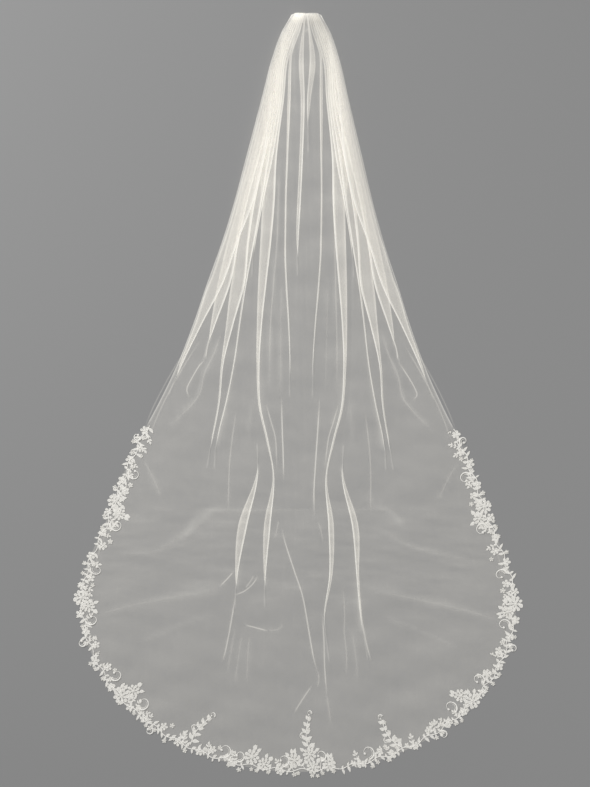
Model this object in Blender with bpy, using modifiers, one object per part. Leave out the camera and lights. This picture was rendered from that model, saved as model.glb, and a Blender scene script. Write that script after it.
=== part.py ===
"""Cathedral bridal veil, laid out flat face up: a gathered tulle panel, its hair comb and a lace edging.

Metres, +Z up. The veil lies on z = 0 with the comb towards +Y and the hem towards -Y.
The origin is under the middle of the veil's box.
"""

import math
from collections import namedtuple

import bmesh
import bpy
import numpy as np
from mathutils import Vector
from mathutils.geometry import delaunay_2d_cdt

MM = 0.001

# Driving sizes of the tulle panel. PITCH is from one layer's middle to the next one's.
WALL = 1.0 * MM
PITCH = 1.6 * MM
STEEPEST = 1.2
CREST_LIFT = 1.4 * MM
OPEN = -12
FULLY_OPEN = -OPEN * MM
CLOSED_FOLD = 5 * MM
REST_PAST_FOLD = 3 * MM
NARROWEST_REST = 0.5 * MM
SHUT_HEIGHTS = (0.0, PITCH, CREST_LIFT + PITCH, CREST_LIFT + 2 * PITCH)
# Where a fold ends, its four corners stand up as a ridge: how far from the crest and how high, in
# millimetres. Further on they lie flat, at OPENED from the crest, and RIDGE_FOOT widens the far side.
RIDGE = ((-1.5, 0.3), (-0.3, 1.7), (1.2, 3.0), (3.2, 3.0))
OPENED = (-12, -8, -4, 0)
RIDGE_FOOT = 4 * MM

# Laying the cloth down: the steps across in which heights are kept, the least lack of height that
# counts, how far the ends of a stretch are left out or added, and how often and how much it is lifted
FLOOR_STEP = 1.5 * MM
SMALLEST_LACK = 0.03 * MM
END_LEFT_OUT = 0.6 * MM
END_ADDED = 1.2 * MM
SETTLING_ROUNDS = 60
SETTLING_SHARE = 0.3
PLACES_PER_ROW = 4

# Driving sizes of the panel's outline
HEM_CENTRE_ALONG = 2344 * MM
HEM_HALF_WIDTH = 868 * MM
HEM_DROP = 680 * MM
HEADING_SAG = 12 * MM
HEADING_REACH = 120 * MM

# Driving sizes of the comb, which lies under the heading
COMB_WIDTH = 100 * MM
COMB_BAR = 5.0 * MM
COMB_THICK = 3.0 * MM
COMB_LENGTH = 42 * MM
COMB_INSET = 3 * MM
TOOTH_COUNT = 19
TOOTH_ROOT = 2.2 * MM
TOOTH_TIP = 1.2 * MM
SEAM_GAP = 0.3 * MM
COMB_RAMP = 22 * MM
COMB_REACH = COMB_INSET + COMB_LENGTH

# Driving sizes of the lace
LACE_WALL = 1.2 * MM
LACE_START_ALONG = 1640 * MM
LACE_PAST_EDGE = 14 * MM
CORD_WIDTH = 8 * MM
CORD_INWARD = 20 * MM
CORD_SWAY = 7 * MM
CORD_WAVE = 104 * MM
STEM_WIDTH = 5.5 * MM
CURL_WIDTH = 6 * MM
STEP_ALONG_CORD = 32 * MM
POINT_MERGE = 0.3 * MM

# Distances from the heading, in millimetres, that the width and fold tables below refer to
STATIONS = (0, 60, 180, 340, 580, 760, 920, 1080, 1240, 1400, 1560, 1700, 1840, 2040, 2240, 2400, 2600)
HALF_WIDTH = (52, 90, 134, 173, 233, 278, 325, 380, 432, 492, 566, 638, 700, 772, 852, 868, 868)

# Each fold of the cloth, from the middle outwards. crest is how far the fold's edge lies from the
# middle line at each station, and depth how far the cloth doubles back under it. A depth below
# nothing means that the fold has opened out flat there. All in millimetres.
Fold = namedtuple("Fold", "name sides crest depth")
FOLDS = (
    Fold("left_arm", "left",
         (2, 6, 8, 2, 6, 12, 19, 22, 22, 22, 22, 22, 22, 22, 22, 22, 22),
         (3, 8, 19, 16, 14, 14, 7, OPEN, OPEN, OPEN, OPEN, OPEN, OPEN, OPEN, OPEN, OPEN, OPEN)),
    Fold("right_arm", "right",
         (2, 8, 16, 8, 17, 18, 20, 22, 22, 22, 22, 22, 22, 22, 22, 22, 22),
         (3, 8, 23, 15, OPEN, OPEN, OPEN, OPEN, OPEN, OPEN, OPEN, OPEN, OPEN, OPEN, OPEN, OPEN, OPEN)),
    Fold("thin_pleat", "both",
         (7, 20, 56, 58, 65, 69, 69, 62, 51, 44, 48, 52, 56, 60, 66, 70, 80),
         (4, 9, 10, 12, 7, 6, 6, 6, 5, 4, OPEN, OPEN, OPEN, OPEN, OPEN, OPEN, OPEN)),
    Fold("lyre_pleat", "left",
         (12, 30, 68, 84, 110, 116, 128, 144, 159, 167, 161, 129, 103, 114, 130, 136, 140),
         (5, 13, 22, 38, 41, 48, 43, 33, 21, 12, 9, 8, 6, 26, 8, OPEN, OPEN)),
    Fold("lyre_pleat", "right",
         (12, 30, 68, 84, 110, 116, 128, 144, 159, 167, 161, 129, 103, 116, 122, 104, 130),
         (5, 13, 22, 38, 41, 48, 43, 33, 21, 12, 9, 8, 6, 22, 13, 4, OPEN)),
    Fold("spindle_pleat", "left",
         (18, 39, 78, 92, 126, 162, 190, 206, 208, 208, 198, 176, 167, 206, 242, 254, 270),
         (5, 14, 23, 41, 43, 12, 5, OPEN, OPEN, OPEN, OPEN, OPEN, 7, 36, 10, OPEN, OPEN)),
    Fold("spindle_pleat", "right",
         (18, 39, 78, 92, 126, 162, 190, 206, 208, 208, 198, 176, 167, 210, 231, 248, 284),
         (5, 14, 23, 41, 43, 12, 5, OPEN, OPEN, OPEN, OPEN, OPEN, 7, 26, 11, 6, OPEN)),
    Fold("narrow_pleat", "both",
         (24, 47, 86, 100, 139, 168, 195, 223, 246, 267, 297, 329, 345, 352, 360, 370, 380),
         (5, 14, 22, 42, 45, 40, 29, 10, 6, 5, 5, 4, OPEN, OPEN, OPEN, OPEN, OPEN)),
    Fold("fan_pleat_1", "both",
         (30, 55, 94, 110, 158, 194, 216, 230, 272, 310, 324, 349, 378, 430, 462, 475, 485),
         (5, 14, 22, 41, 44, 50, 54, 54, 30, 10, 7, 5, OPEN, OPEN, OPEN, OPEN, OPEN)),
    Fold("fan_pleat_2", "both",
         (35, 63, 100, 120, 180, 225, 257, 287, 343, 396, 424, 456, 488, 528, 580, 600, 610),
         (5, 14, 22, 39, 35, 36, 46, 51, 20, OPEN, OPEN, OPEN, OPEN, OPEN, OPEN, OPEN, OPEN)),
    Fold("edge_pleat", "both",
         (40, 70, 106, 132, 160, 202, 262, 316, 396, 472, 540, 590, 632, 660, 720, 735, 740),
         (5, 14, 22, 35, 66, 70, 57, 57, 29, 11, OPEN, OPEN, OPEN, OPEN, OPEN, OPEN, OPEN)),
)

# Distances from the heading of the straight rows of points, then how far the last rows bend to the hem
ROWS = (0, 25, 60, 110, 180, 260, 340, 460, 580, 610, 680, 760, 920, 1000, 1240, 1320, 1400, 1480,
        1560, 1700, 1770, 1840, 1940, 2040, 2240, 2300, 2344)
HEM_ROW_SHARES = (0.19, 0.55, 1.0)
HEM_CORNER_ALONG = 2580 * MM


def clear_scene():
    for obj in list(bpy.data.objects):
        bpy.data.objects.remove(obj)


def material(name, colour, roughness, metallic=0.0):
    made = bpy.data.materials.new(name)
    made.use_nodes = True
    shader = made.node_tree.nodes["Principled BSDF"]
    shader.inputs["Base Color"].default_value = (*colour, 1.0)
    shader.inputs["Roughness"].default_value = roughness
    shader.inputs["Metallic"].default_value = metallic
    return made


def add_mesh(name, points, faces, finish, collection):
    mesh = bpy.data.meshes.new(name)
    mesh.from_pydata([tuple(p) for p in points], [], [tuple(int(i) for i in f) for f in faces])
    mesh.materials.append(finish)
    obj = bpy.data.objects.new(name, mesh)
    collection.objects.link(obj)
    return obj


def along_table(along, values):
    """A smooth curve through a table's values at STATIONS, in metres, with the slope of its neighbours."""
    at = np.array(STATIONS) * MM
    value = np.array(values, float) * MM
    slope = np.gradient(value, at)
    rise = np.diff(value) / np.diff(at)
    limit = 3 * np.minimum(np.abs(np.r_[rise[0], rise]), np.abs(np.r_[rise, rise[-1]]))
    slope = np.clip(slope, -limit, limit)
    along = np.clip(along, at[0], at[-1])
    i = np.clip(np.searchsorted(at, along, side="right") - 1, 0, len(at) - 2)
    span = at[i + 1] - at[i]
    t = (along - at[i]) / span
    return ((1 + 2 * t) * (1 - t) ** 2 * value[i] + t * (1 - t) ** 2 * span * slope[i]
            + t * t * (3 - 2 * t) * value[i + 1] - t * t * (1 - t) * span * slope[i + 1])


def row_alongs():
    """For each row, its distance from the heading at the middle line and at the cloth's edge."""
    straight = [(r * MM, r * MM) for r in ROWS]
    first, last = HEM_CENTRE_ALONG, HEM_CENTRE_ALONG + HEM_DROP
    bent = [(first + s * (last - first), first + s * (HEM_CORNER_ALONG - first)) for s in HEM_ROW_SHARES]
    return np.array(straight + bent)


def edge_half_width(along):
    """Half the cloth's width: the table down to the widest place, then the hem's ellipse."""
    past = np.clip((along - HEM_CENTRE_ALONG) / HEM_DROP, 0, 1)
    ellipse = HEM_HALF_WIDTH * np.sqrt(1 - past**2)
    return np.where(along > HEM_CENTRE_ALONG, ellipse, along_table(along, HALF_WIDTH))


def columns_of(side, along, width):
    """The cloth's points across one half, middle line to edge, for every row at once.

    Returns how far each column lies from the middle line, the least height that it has, and the runs:
    each run holds the columns of one stretch of cloth between two turns, the lowest stretch first.
    """
    folds = [f for f in FOLDS if f.sides in (side, "both")]
    crests = [along_table(along, fold.crest) for fold in folds]
    depths = [along_table(along, fold.depth) for fold in folds]
    roots = [crest + depth for crest, depth in zip(crests, depths)] + [width]
    flat = np.zeros_like(along)
    out, height, runs = [flat], [flat], []
    run = [0]
    for k, (crest, depth) in enumerate(zip(crests, depths)):
        closed = np.clip(depth / CLOSED_FOLD, 0, 1)
        raised = np.clip(1 + depth / FULLY_OPEN, 0, 1)
        outer = np.maximum(roots[k], crest)
        room = np.clip(roots[k + 1] - outer, NARROWEST_REST, None)
        start = len(out)
        shut_places = (roots[k], roots[k], crest, crest)
        for flat_at, ridge, shut_at, shut_height in zip(OPENED, RIDGE, shut_places, SHUT_HEIGHTS):
            open_at = crest + (flat_at + (ridge[0] - flat_at) * raised) * MM
            out.append(open_at + (shut_at - open_at) * closed)
            height.append(raised * ridge[1] * MM * (1 - closed) + closed * shut_height)
        out.append(outer + np.minimum(REST_PAST_FOLD + (1 - closed) * RIDGE_FOOT, 0.5 * room))
        height.append(flat)
        runs += [run + [start], [start + 1, start + 2]]
        run = [start + 3, start + 4]
    out += [0.5 * (out[-1] + width), width]
    height += [flat, flat]
    runs.append(run + [len(out) - 2, len(out) - 1])
    return np.array(out).T, np.array(height).T, runs


def between_rows(values):
    """The values of every row and of three places between each two rows."""
    shares = np.arange(PLACES_PER_ROW) / PLACES_PER_ROW
    parts = [values[:-1] * (1 - s) + values[1:] * s for s in shares]
    return np.concatenate([np.stack(parts, 1).reshape(-1, *values.shape[1:]), values[-1:]])


def lift_segment(height, ends, need, share):
    """Lift both ends of a segment, in the rows beside every place, by the least that clears it."""
    place = np.arange(len(need)) / PLACES_PER_ROW
    row_share = place - np.floor(place)
    row_total = (1 - row_share) ** 2 + row_share**2
    end_total = (1 - share) ** 2 + share**2
    upper_share = np.where(row_share > 0, row_share, 1)
    for row, of_row in ((np.floor(place), 1 - row_share), (np.ceil(place), upper_share)):
        for end, of_end in zip(ends, (1 - share, share)):
            lift = np.zeros(len(height))
            np.maximum.at(lift, row.astype(int), need * of_row / row_total * of_end / end_total)
            height[:, end] += lift


def over_comb(along, across):
    """The least height of cloth that lies on the comb, and slopes down to the surface beside and below it."""
    below = np.clip((COMB_REACH + 2 * COMB_RAMP - along) / COMB_RAMP, 0, 1)
    beside = np.clip((COMB_WIDTH / 2 + 2 * COMB_RAMP - across) / COMB_RAMP, 0, 1)
    return (COMB_THICK + 2 * SEAM_GAP) * below * beside


def draped(along, out, height, runs):
    """Lay each run of cloth on what is under it, from the comb and the middle sheet outwards.

    floor holds, for each place along the veil and each step across it, the least height that the next
    run may have. A segment of a run that lies too low is lifted until all of it is clear.
    """
    across = np.arange(0, HEM_HALF_WIDTH, FLOOR_STEP)[None]
    floor = over_comb(between_rows(along)[:, None], across)
    height = np.maximum(height, over_comb(along[:, None], out))
    wide = between_rows(out)
    lines = np.arange(len(wide))

    def segment(a, b, margin):
        """Where a segment lies: the steps that it covers, each one's share of it, and its height there."""
        xa, xb = wide[:, [a]], wide[:, [b]]
        za, zb = between_rows(height[:, a])[:, None], between_rows(height[:, b])[:, None]
        length = np.where(np.abs(xb - xa) < POINT_MERGE / 30, MM, xb - xa)
        share = np.clip((across - xa) / length, 0, 1)
        inside = (across >= np.minimum(xa, xb) + margin) & (across <= np.maximum(xa, xb) - margin)
        return inside, share, za + share * (zb - za), np.minimum(np.abs((zb - za) / length), STEEPEST)

    for run in runs:
        for _ in range(SETTLING_ROUNDS):
            lifted = 0.0
            for a, b in zip(run[:-1], run[1:]):
                inside, share, line, _ = segment(a, b, END_LEFT_OUT)
                short = np.where(inside, floor - line, 0)
                worst = np.argmax(short, axis=1)
                need = short[lines, worst]
                need = np.where(need > SMALLEST_LACK, need + SMALLEST_LACK / 3, 0)
                lift_segment(height, (a, b), SETTLING_SHARE * need, share[lines, worst])
                lifted = max(lifted, need.max())
            if lifted == 0.0:
                break
        for a, b in zip(run[:-1], run[1:]):
            inside, share, line, slope = segment(a, b, -END_ADDED)
            floor = np.where(inside, np.maximum(floor, line + PITCH * np.sqrt(1 + slope**2)), floor)
    return height


def row_place(along_middle, out, width):
    """How far along the veil a row's points lie, where the hem's rows bend and the heading sags."""
    share = np.clip(out / width[:, None], 0, 1)
    corner = HEM_CORNER_ALONG - HEM_CENTRE_ALONG
    corner_share = math.sqrt(1 - (corner / HEM_DROP) ** 2)
    bend = (along_middle[:, None] - HEM_CENTRE_ALONG) * np.sqrt(1 - (corner_share * share) ** 2)
    straight = along_middle[:, None] + HEADING_SAG * share**2 * np.exp(-along_middle[:, None] / HEADING_REACH)
    return np.where(along_middle[:, None] > HEM_CENTRE_ALONG, HEM_CENTRE_ALONG + bend, straight)


def panel_grid():
    """The middle surface of the tulle panel, as rows of points from its left edge to its right edge."""
    along_middle, along_edge = row_alongs().T
    halves = []
    for side, sign in (("left", -1), ("right", 1)):
        width = edge_half_width(along_edge)
        out, height, runs = columns_of(side, along_middle, width)
        height = draped(along_middle, out, height, runs)
        place = row_place(along_middle, out, width)
        halves.append(np.stack([sign * out, -place, height + WALL / 2], axis=2))
    left, right = halves
    middle = 0.5 * (left[:, :1] + right[:, :1])
    middle[:, :, 2] = np.maximum(left[:, :1, 2], right[:, :1, 2])
    return np.concatenate([left[:, :0:-1], middle, right[:, 1:]], axis=1)


def grid_faces(rows, columns):
    """The four corners of every patch in a grid of points that is stored row by row."""
    first = (np.arange(rows - 1)[:, None] * columns + np.arange(columns - 1)[None]).ravel()
    return np.stack([first, first + columns, first + columns + 1, first + 1], axis=1)


def solidify(obj, thickness, offset, even):
    wall = obj.modifiers.new("wall", "SOLIDIFY")
    wall.thickness = thickness
    wall.offset = offset
    wall.use_even_offset = even
    wall.use_quality_normals = True


def tulle_panel(finish, collection):
    points = panel_grid()
    faces = grid_faces(*points.shape[:2])
    panel = add_mesh("tulle_panel", points.reshape(-1, 3), faces, finish, collection)
    solidify(panel, WALL, 0.0, False)
    return panel


# Lace: how far along the hem each motif lies from its middle (left is below nothing), how far inward,
# and its size, in millimetres. turn is in degrees, from the way along the hem towards the cloth.
Motif = namedtuple("Motif", "kind along inward size turn")
SIDE_MOTIFS = (
    Motif("flower", -1940, 16, 17, 0),
    Motif("scroll", -1905, 2, 15, 200),
    Motif("flower", -1868, 30, 16, 30),
    Motif("flower", -1810, 14, 17, 10),
    Motif("scroll", -1765, 52, 23, 60),
    Motif("flower", -1722, 18, 17, 40),
    Motif("flower", -1686, 46, 16, 0),
    Motif("rose", -1632, 20, 29, 0),
    Motif("rose", -1592, 52, 25, 20),
    Motif("flower", -1584, 8, 16, 15),
    Motif("scroll", -1548, 58, 24, 120),
    Motif("flower", -1500, 20, 16, 0),
    Motif("flower", -1452, 44, 16, 30),
    Motif("flower", -1395, 16, 17, 10),
    Motif("scroll", -1350, 54, 23, 70),
    Motif("flower", -1308, 42, 17, 50),
    Motif("flower", -1270, 12, 16, 0),
    Motif("rose", -1222, 16, 31, 10),
    Motif("rose", -1186, 46, 25, 40),
    Motif("flower", -1158, 10, 17, 20),
    Motif("scroll", -1130, 52, 24, 110),
    Motif("flower", -1086, 20, 17, 0),
    Motif("scroll", -1046, -6, 15, 210),
    Motif("flower", -1020, 44, 16, 30),
    Motif("flower", -960, 16, 17, 0),
    Motif("flower", -912, 48, 16, 30),
    Motif("scroll", -868, 58, 24, 60),
    Motif("flower", -836, 16, 17, 10),
    Motif("rose", -784, 24, 31, 0),
    Motif("rose", -766, 72, 27, 30),
    Motif("flower", -728, 18, 17, 40),
    Motif("scroll", -700, 64, 26, 120),
    Motif("flower", -655, 22, 17, 0),
    Motif("scroll", -610, -4, 15, 200),
    Motif("flower", -570, 42, 16, 20),
    Motif("flower", -490, 16, 17, 10),
    Motif("spray", -440, 30, 138, 75),
    Motif("flower", -396, 18, 17, 30),
    Motif("flower", -348, 44, 16, 0),
    Motif("scroll", -300, 54, 27, 70),
    Motif("flower", -262, 18, 17, 10),
    Motif("rose", -184, 56, 31, 0),
    Motif("rose", -130, 34, 26, 30),
    Motif("scroll", -236, 48, 22, 110),
)
CENTRE_MOTIFS = (
    Motif("flower", -62, 14, 17, 0),
    Motif("scroll", -52, 56, 24, 60),
    Motif("rose", -6, 58, 29, 0),
    Motif("rose", 58, 82, 28, 20),
    Motif("rose", 70, 30, 26, 40),
    Motif("spray", 60, 96, 140, 88),
    Motif("rose", 136, 36, 27, 10),
    Motif("scroll", 104, 74, 22, 110),
)
# Where one stretch of lace ends and the next begins, in millimetres along the hem from its middle
LACE_SEAMS = (-1966, -1420, -990, -530, -88, 176, 530, 990, 1420, 1966)


def hem_path():
    """Points on the cloth's edge from the lace's left start to its right start, and their arc length."""
    side = np.arange(LACE_START_ALONG, HEM_CENTRE_ALONG, 8 * MM)
    turn = np.linspace(0, math.pi / 2, 120)
    x = np.concatenate([-edge_half_width(side), -HEM_HALF_WIDTH * np.cos(turn)])
    along = np.concatenate([side, HEM_CENTRE_ALONG + HEM_DROP * np.sin(turn)])
    left = np.stack([x, -along], axis=1)
    path = np.concatenate([left, (left * (-1, 1))[-2::-1]])
    length = np.concatenate([[0], np.cumsum(np.hypot(*np.diff(path, axis=0).T))])
    return path, length - length[-1] / 2


def on_hem(points, path, length):
    """Carry flat lace drawn along and inward in millimetres to its place on the hem."""
    along, inward = np.array(points).T * MM
    inward = inward - LACE_PAST_EDGE
    x, y = (np.interp(along, length, path[:, i]) for i in (0, 1))
    step = 6 * MM
    dx, dy = (np.interp(along + step, length, path[:, i]) - np.interp(along - step, length, path[:, i])
              for i in (0, 1))
    size = np.hypot(dx, dy)
    return np.stack([x - inward * dy / size, y + inward * dx / size], axis=1)


def cord_inward(along):
    """How far inward the lace's main cord runs: a wave along the hem."""
    return CORD_INWARD / MM + CORD_SWAY / MM * np.sin(2 * math.pi * along / (CORD_WAVE / MM))


def band(route, width):
    """The outline of a strip of even width that follows a route of points."""
    route = np.array(route, float)
    way = np.gradient(route, axis=0)
    way /= np.hypot(*way.T)[:, None]
    side = np.stack([-way[:, 1], way[:, 0]], axis=1) * width / 2
    return np.concatenate([route - side, (route + side)[::-1]])


def turned(points, degrees, centre):
    a = math.radians(degrees)
    points = np.array(points, float)
    return points @ np.array([[math.cos(a), math.sin(a)], [-math.sin(a), math.cos(a)]]) + centre


def petals(centre, radius, count, notch, turn):
    """A round flower with one point at each petal's tip and one in each notch between two petals."""
    angle = np.arange(2 * count) * math.pi / count
    reach = radius * np.where(np.arange(2 * count) % 2, notch, 1.0)
    return turned(np.stack([reach * np.cos(angle), reach * np.sin(angle)], axis=1), turn, centre)


def leaf(foot, length, width, turn):
    """A leaf that starts at its foot, is widest before its middle and ends in a point."""
    outline = ((-1.5, -1), (0.45 * length, -width / 2), (length, 0), (0.45 * length, width / 2), (-1.5, 1))
    return turned(outline, turn, foot)


def curl(centre, radius, turn, sweep=285, steps=6):
    """A scroll: a strip that follows an arc and leaves its middle open."""
    angle = np.radians(turn + np.linspace(0, sweep, steps))
    shrink = np.linspace(1.0, 0.8, steps)
    ring = np.stack([np.cos(angle) * shrink, np.sin(angle) * shrink], axis=1)
    return band(np.array(centre) + radius * ring, CURL_WIDTH / MM)


def spray(foot, reach, turn):
    """A sprig that rises from the border: a bowed stem, leaves on both sides of it and a curl at its tip."""
    share = np.linspace(0, 1, 7)
    bow = 0.12 * reach * np.sin(math.pi * share)
    stem = turned(np.stack([reach * share, bow], axis=1), turn, foot)
    shapes = [band(stem, 5.0)]
    for i in range(1, 6):
        for side in (-1, 1):
            shapes.append(leaf(stem[i], 30 - 2 * i, 12, turn + side * 52))
    shapes.append(curl(stem[-1] + turned([(0, 10)], turn, (0, 0))[0], 11, turn - 90, sweep=250, steps=7))
    shapes.append(petals(stem[3], 13, 5, 0.6, 20))
    return shapes


def motif_shapes(motif):
    """The outlines of one motif, with the stem that ties it to the main cord."""
    place = np.array([motif.along, motif.inward], float)
    root = np.array([motif.along - 9, cord_inward(motif.along - 9)])
    if motif.kind == "rose":
        return [petals(place, motif.size, 7, 0.86, motif.turn), band([root, place], STEM_WIDTH / MM)]
    if motif.kind == "flower":
        return [petals(place, motif.size, 5, 0.62, motif.turn), band([root, place], STEM_WIDTH / MM)]
    if motif.kind == "scroll":
        toward = 1 if motif.inward > cord_inward(motif.along) else -1
        foot = place - (0, toward * motif.size)
        root = (motif.along - 6, cord_inward(motif.along - 6))
        return [curl(place, motif.size, -90 * toward, sweep=285 * toward),
                band([root, foot + (0, toward * 2)], STEM_WIDTH / MM)]
    return spray(place, motif.size, motif.turn) + [band([root, place], STEM_WIDTH / MM)]


def lace_shapes(start, end):
    """Every outline of one stretch of lace, drawn flat: its cord, the leaves along it, and its motifs."""
    steps = max(int((end - start) / (STEP_ALONG_CORD / MM)), 2)
    along = np.linspace(start, end, steps + 1)
    shapes = [band(np.stack([along, cord_inward(along)], axis=1), CORD_WIDTH / MM)]
    shapes[0][[0, -1], 0], shapes[0][[steps, steps + 1], 0] = start, end
    mirrored = [m._replace(along=-m.along, turn=180 - m.turn) for m in SIDE_MOTIFS if m.along < -240]
    inside = [m for m in SIDE_MOTIFS + CENTRE_MOTIFS + tuple(mirrored) if start < m.along < end]
    for motif in inside:
        shapes += motif_shapes(motif)
    for i, place in enumerate(along[1:-1:2]):
        if all(abs(place - m.along) > m.size * 0.8 for m in inside if m.kind == "rose"):
            side = 1 if i % 2 else -1
            shapes.append(leaf((place, cord_inward(place)), 32, 13, side * 62))
    return [clipped(shape, start, end) for shape in shapes]


def clipped(shape, start, end):
    """Keep an outline inside its stretch, half the seam's gap away from each end."""
    shape = np.array(shape)
    gap = SEAM_GAP / MM / 2
    shape[:, 0] = np.clip(shape[:, 0], start + gap, end - gap)
    return shape


def flat_union(shapes):
    """Join overlapping outlines into one flat sheet of triangles, whose gaps stay open."""
    corners, faces = [], []
    for shape in shapes:
        area = np.sum(shape[:, 0] * np.roll(shape[:, 1], -1) - shape[:, 1] * np.roll(shape[:, 0], -1))
        ring = shape if area > 0 else shape[::-1]
        faces.append(list(range(len(corners), len(corners) + len(ring))))
        corners += [Vector(point) for point in ring]
    points, _, triangles, _, _, sources = delaunay_2d_cdt(corners, [], faces, 1, POINT_MERGE / MM)
    kept = [t for t, source in zip(triangles, sources) if source]
    return np.array([tuple(p) for p in points]), kept


def lace_stretch(name, start, end, path, length, finish, collection):
    points, triangles = flat_union(lace_shapes(start, end))
    placed = on_hem(points, path, length)
    level = np.full((len(placed), 1), WALL + SEAM_GAP)
    obj = add_mesh(name, np.concatenate([placed, level], axis=1), triangles, finish, collection)
    keep_whole_sheet(obj)
    solidify(obj, LACE_WALL, 1.0, False)
    return obj


def connected(faces):
    """The groups of faces that hang together by their edges, the largest first."""
    todo = set(faces)
    groups = []
    while todo:
        front = [todo.pop()]
        group = set(front)
        while front:
            face = front.pop()
            near = {f for edge in face.edges for f in edge.link_faces} & todo
            todo -= near
            group |= near
            front += near
        groups.append(group)
    return sorted(groups, key=len, reverse=True)


def pinched(sheet):
    """The faces that meet the rest of a flat sheet at a single point, the smaller side of each such point."""
    lost = set()
    for point in sheet.verts:
        if sum(edge.is_boundary for edge in point.link_edges) > 2:
            near = set(point.link_faces)
            fans = []
            while near:
                front = [near.pop()]
                fan = set(front)
                while front:
                    face = front.pop()
                    next_faces = {f for e in face.edges if point in e.verts for f in e.link_faces} & near
                    near -= next_faces
                    fan |= next_faces
                    front += next_faces
                fans.append(fan)
            fans.sort(key=lambda fan: sum(face.calc_area() for face in fan))
            for fan in fans[:-1]:
                lost |= fan
    return lost


def keep_whole_sheet(obj):
    """Make a flat sheet one clean piece: no doubled points, no pinched points, no loose pieces."""
    sheet = bmesh.new()
    sheet.from_mesh(obj.data)
    bmesh.ops.remove_doubles(sheet, verts=sheet.verts, dist=POINT_MERGE)
    for _ in range(6):
        lost = pinched(sheet)
        for group in connected(face for face in sheet.faces if face not in lost)[1:]:
            lost |= group
        if not lost:
            break
        bmesh.ops.delete(sheet, geom=list(lost), context="FACES")
    rim = [edge for edge in sheet.edges if edge.is_boundary]
    points = list({point for edge in rim for point in edge.verts})
    place = {point: i for i, point in enumerate(points)}
    flat = [Vector((point.co.x, point.co.y)) / MM for point in points]
    sides = [tuple(place[point] for point in edge.verts) for edge in rim]
    level = points[0].co.z
    sheet.free()
    corners, _, triangles, _, _, _ = delaunay_2d_cdt(flat, sides, [], 1, 0.01)
    middles = [sum((corners[i] for i in t), Vector((0, 0))) / 3 for t in triangles]
    kept = [t for t, inside in zip(triangles, within(middles, flat, sides)) if inside]
    finish = obj.data.materials[0]
    obj.data.clear_geometry()
    obj.data.from_pydata([(p.x * MM, p.y * MM, level) for p in corners], [], kept)
    if not obj.data.materials:
        obj.data.materials.append(finish)


def within(places, points, sides):
    """Whether each place is inside: a line to its right crosses the outline's sides an odd number of times."""
    places, points = np.array(places), np.array(points)
    start, end = (points[[side[i] for side in sides]] for i in (0, 1))
    x, y = places[:, :1], places[:, 1:]
    spans = (start[:, 1] > y) != (end[:, 1] > y)
    rise = np.where(end[:, 1] == start[:, 1], 1, end[:, 1] - start[:, 1])
    crossing = start[:, 0] + (y - start[:, 1]) * (end[:, 0] - start[:, 0]) / rise
    return np.sum(spans & (crossing > x), axis=1) % 2 == 1


def comb(finish, collection):
    """A plain comb with its teeth down the veil, flat on the surface under the heading."""
    top = -COMB_INSET
    bottom = -COMB_INSET - COMB_BAR
    half = COMB_WIDTH / 2
    shapes = [np.array([(-half, top), (-half, bottom), (half, bottom), (half, top)]) / MM]
    for x in np.linspace(-half + TOOTH_ROOT / 2, half - TOOTH_ROOT / 2, TOOTH_COUNT):
        tip = -COMB_INSET - COMB_LENGTH
        tooth = [(x - TOOTH_ROOT / 2, bottom + MM), (x - TOOTH_TIP / 2, tip),
                 (x + TOOTH_TIP / 2, tip), (x + TOOTH_ROOT / 2, bottom + MM)]
        shapes.append(np.array(tooth) / MM)
    points, triangles = flat_union(shapes)
    flat = np.concatenate([points * MM, np.zeros((len(points), 1))], axis=1)
    obj = add_mesh("comb", flat, triangles, finish, collection)
    keep_whole_sheet(obj)
    solidify(obj, COMB_THICK, 1.0, False)
    return obj


def centre_on_box(pieces):
    """Move every piece so that the middle of the veil's box is over the origin."""
    graph = bpy.context.evaluated_depsgraph_get()
    corners = [piece.matrix_world @ Vector(c) for piece in pieces for c in piece.evaluated_get(graph).bound_box]
    low = [min(c[i] for c in corners) for i in range(3)]
    high = [max(c[i] for c in corners) for i in range(3)]
    for piece in pieces:
        piece.location = (-(low[0] + high[0]) / 2, -(low[1] + high[1]) / 2, 0)


def main():
    clear_scene()
    veil = bpy.data.collections.new("bridal_veil")
    bpy.context.scene.collection.children.link(veil)
    tulle = material("ivory_tulle", (0.74, 0.71, 0.64), 0.85)
    lace = material("ivory_lace", (0.82, 0.80, 0.73), 0.7)
    clear_plastic = material("clear_comb", (0.8, 0.78, 0.74), 0.3)
    pieces = [tulle_panel(tulle, veil), comb(clear_plastic, veil)]
    path, length = hem_path()
    for i, (start, end) in enumerate(zip(LACE_SEAMS[:-1], LACE_SEAMS[1:]), start=1):
        pieces.append(lace_stretch(f"lace_{i}", start, end, path, length, lace, veil))
    centre_on_box(pieces)


main()
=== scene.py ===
# %% [markdown]
# # A bridal veil, laid out flat
# The veil is one long panel of soft ivory net. Its top is gathered on a comb, folds fall from the
# gathers, and a lace edging follows the curved hem. Here it lies face up on a plain grey floor.
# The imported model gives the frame: how long and wide the veil is, and where its comb lies.

# %% Load the frame
import math
from collections import namedtuple

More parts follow.
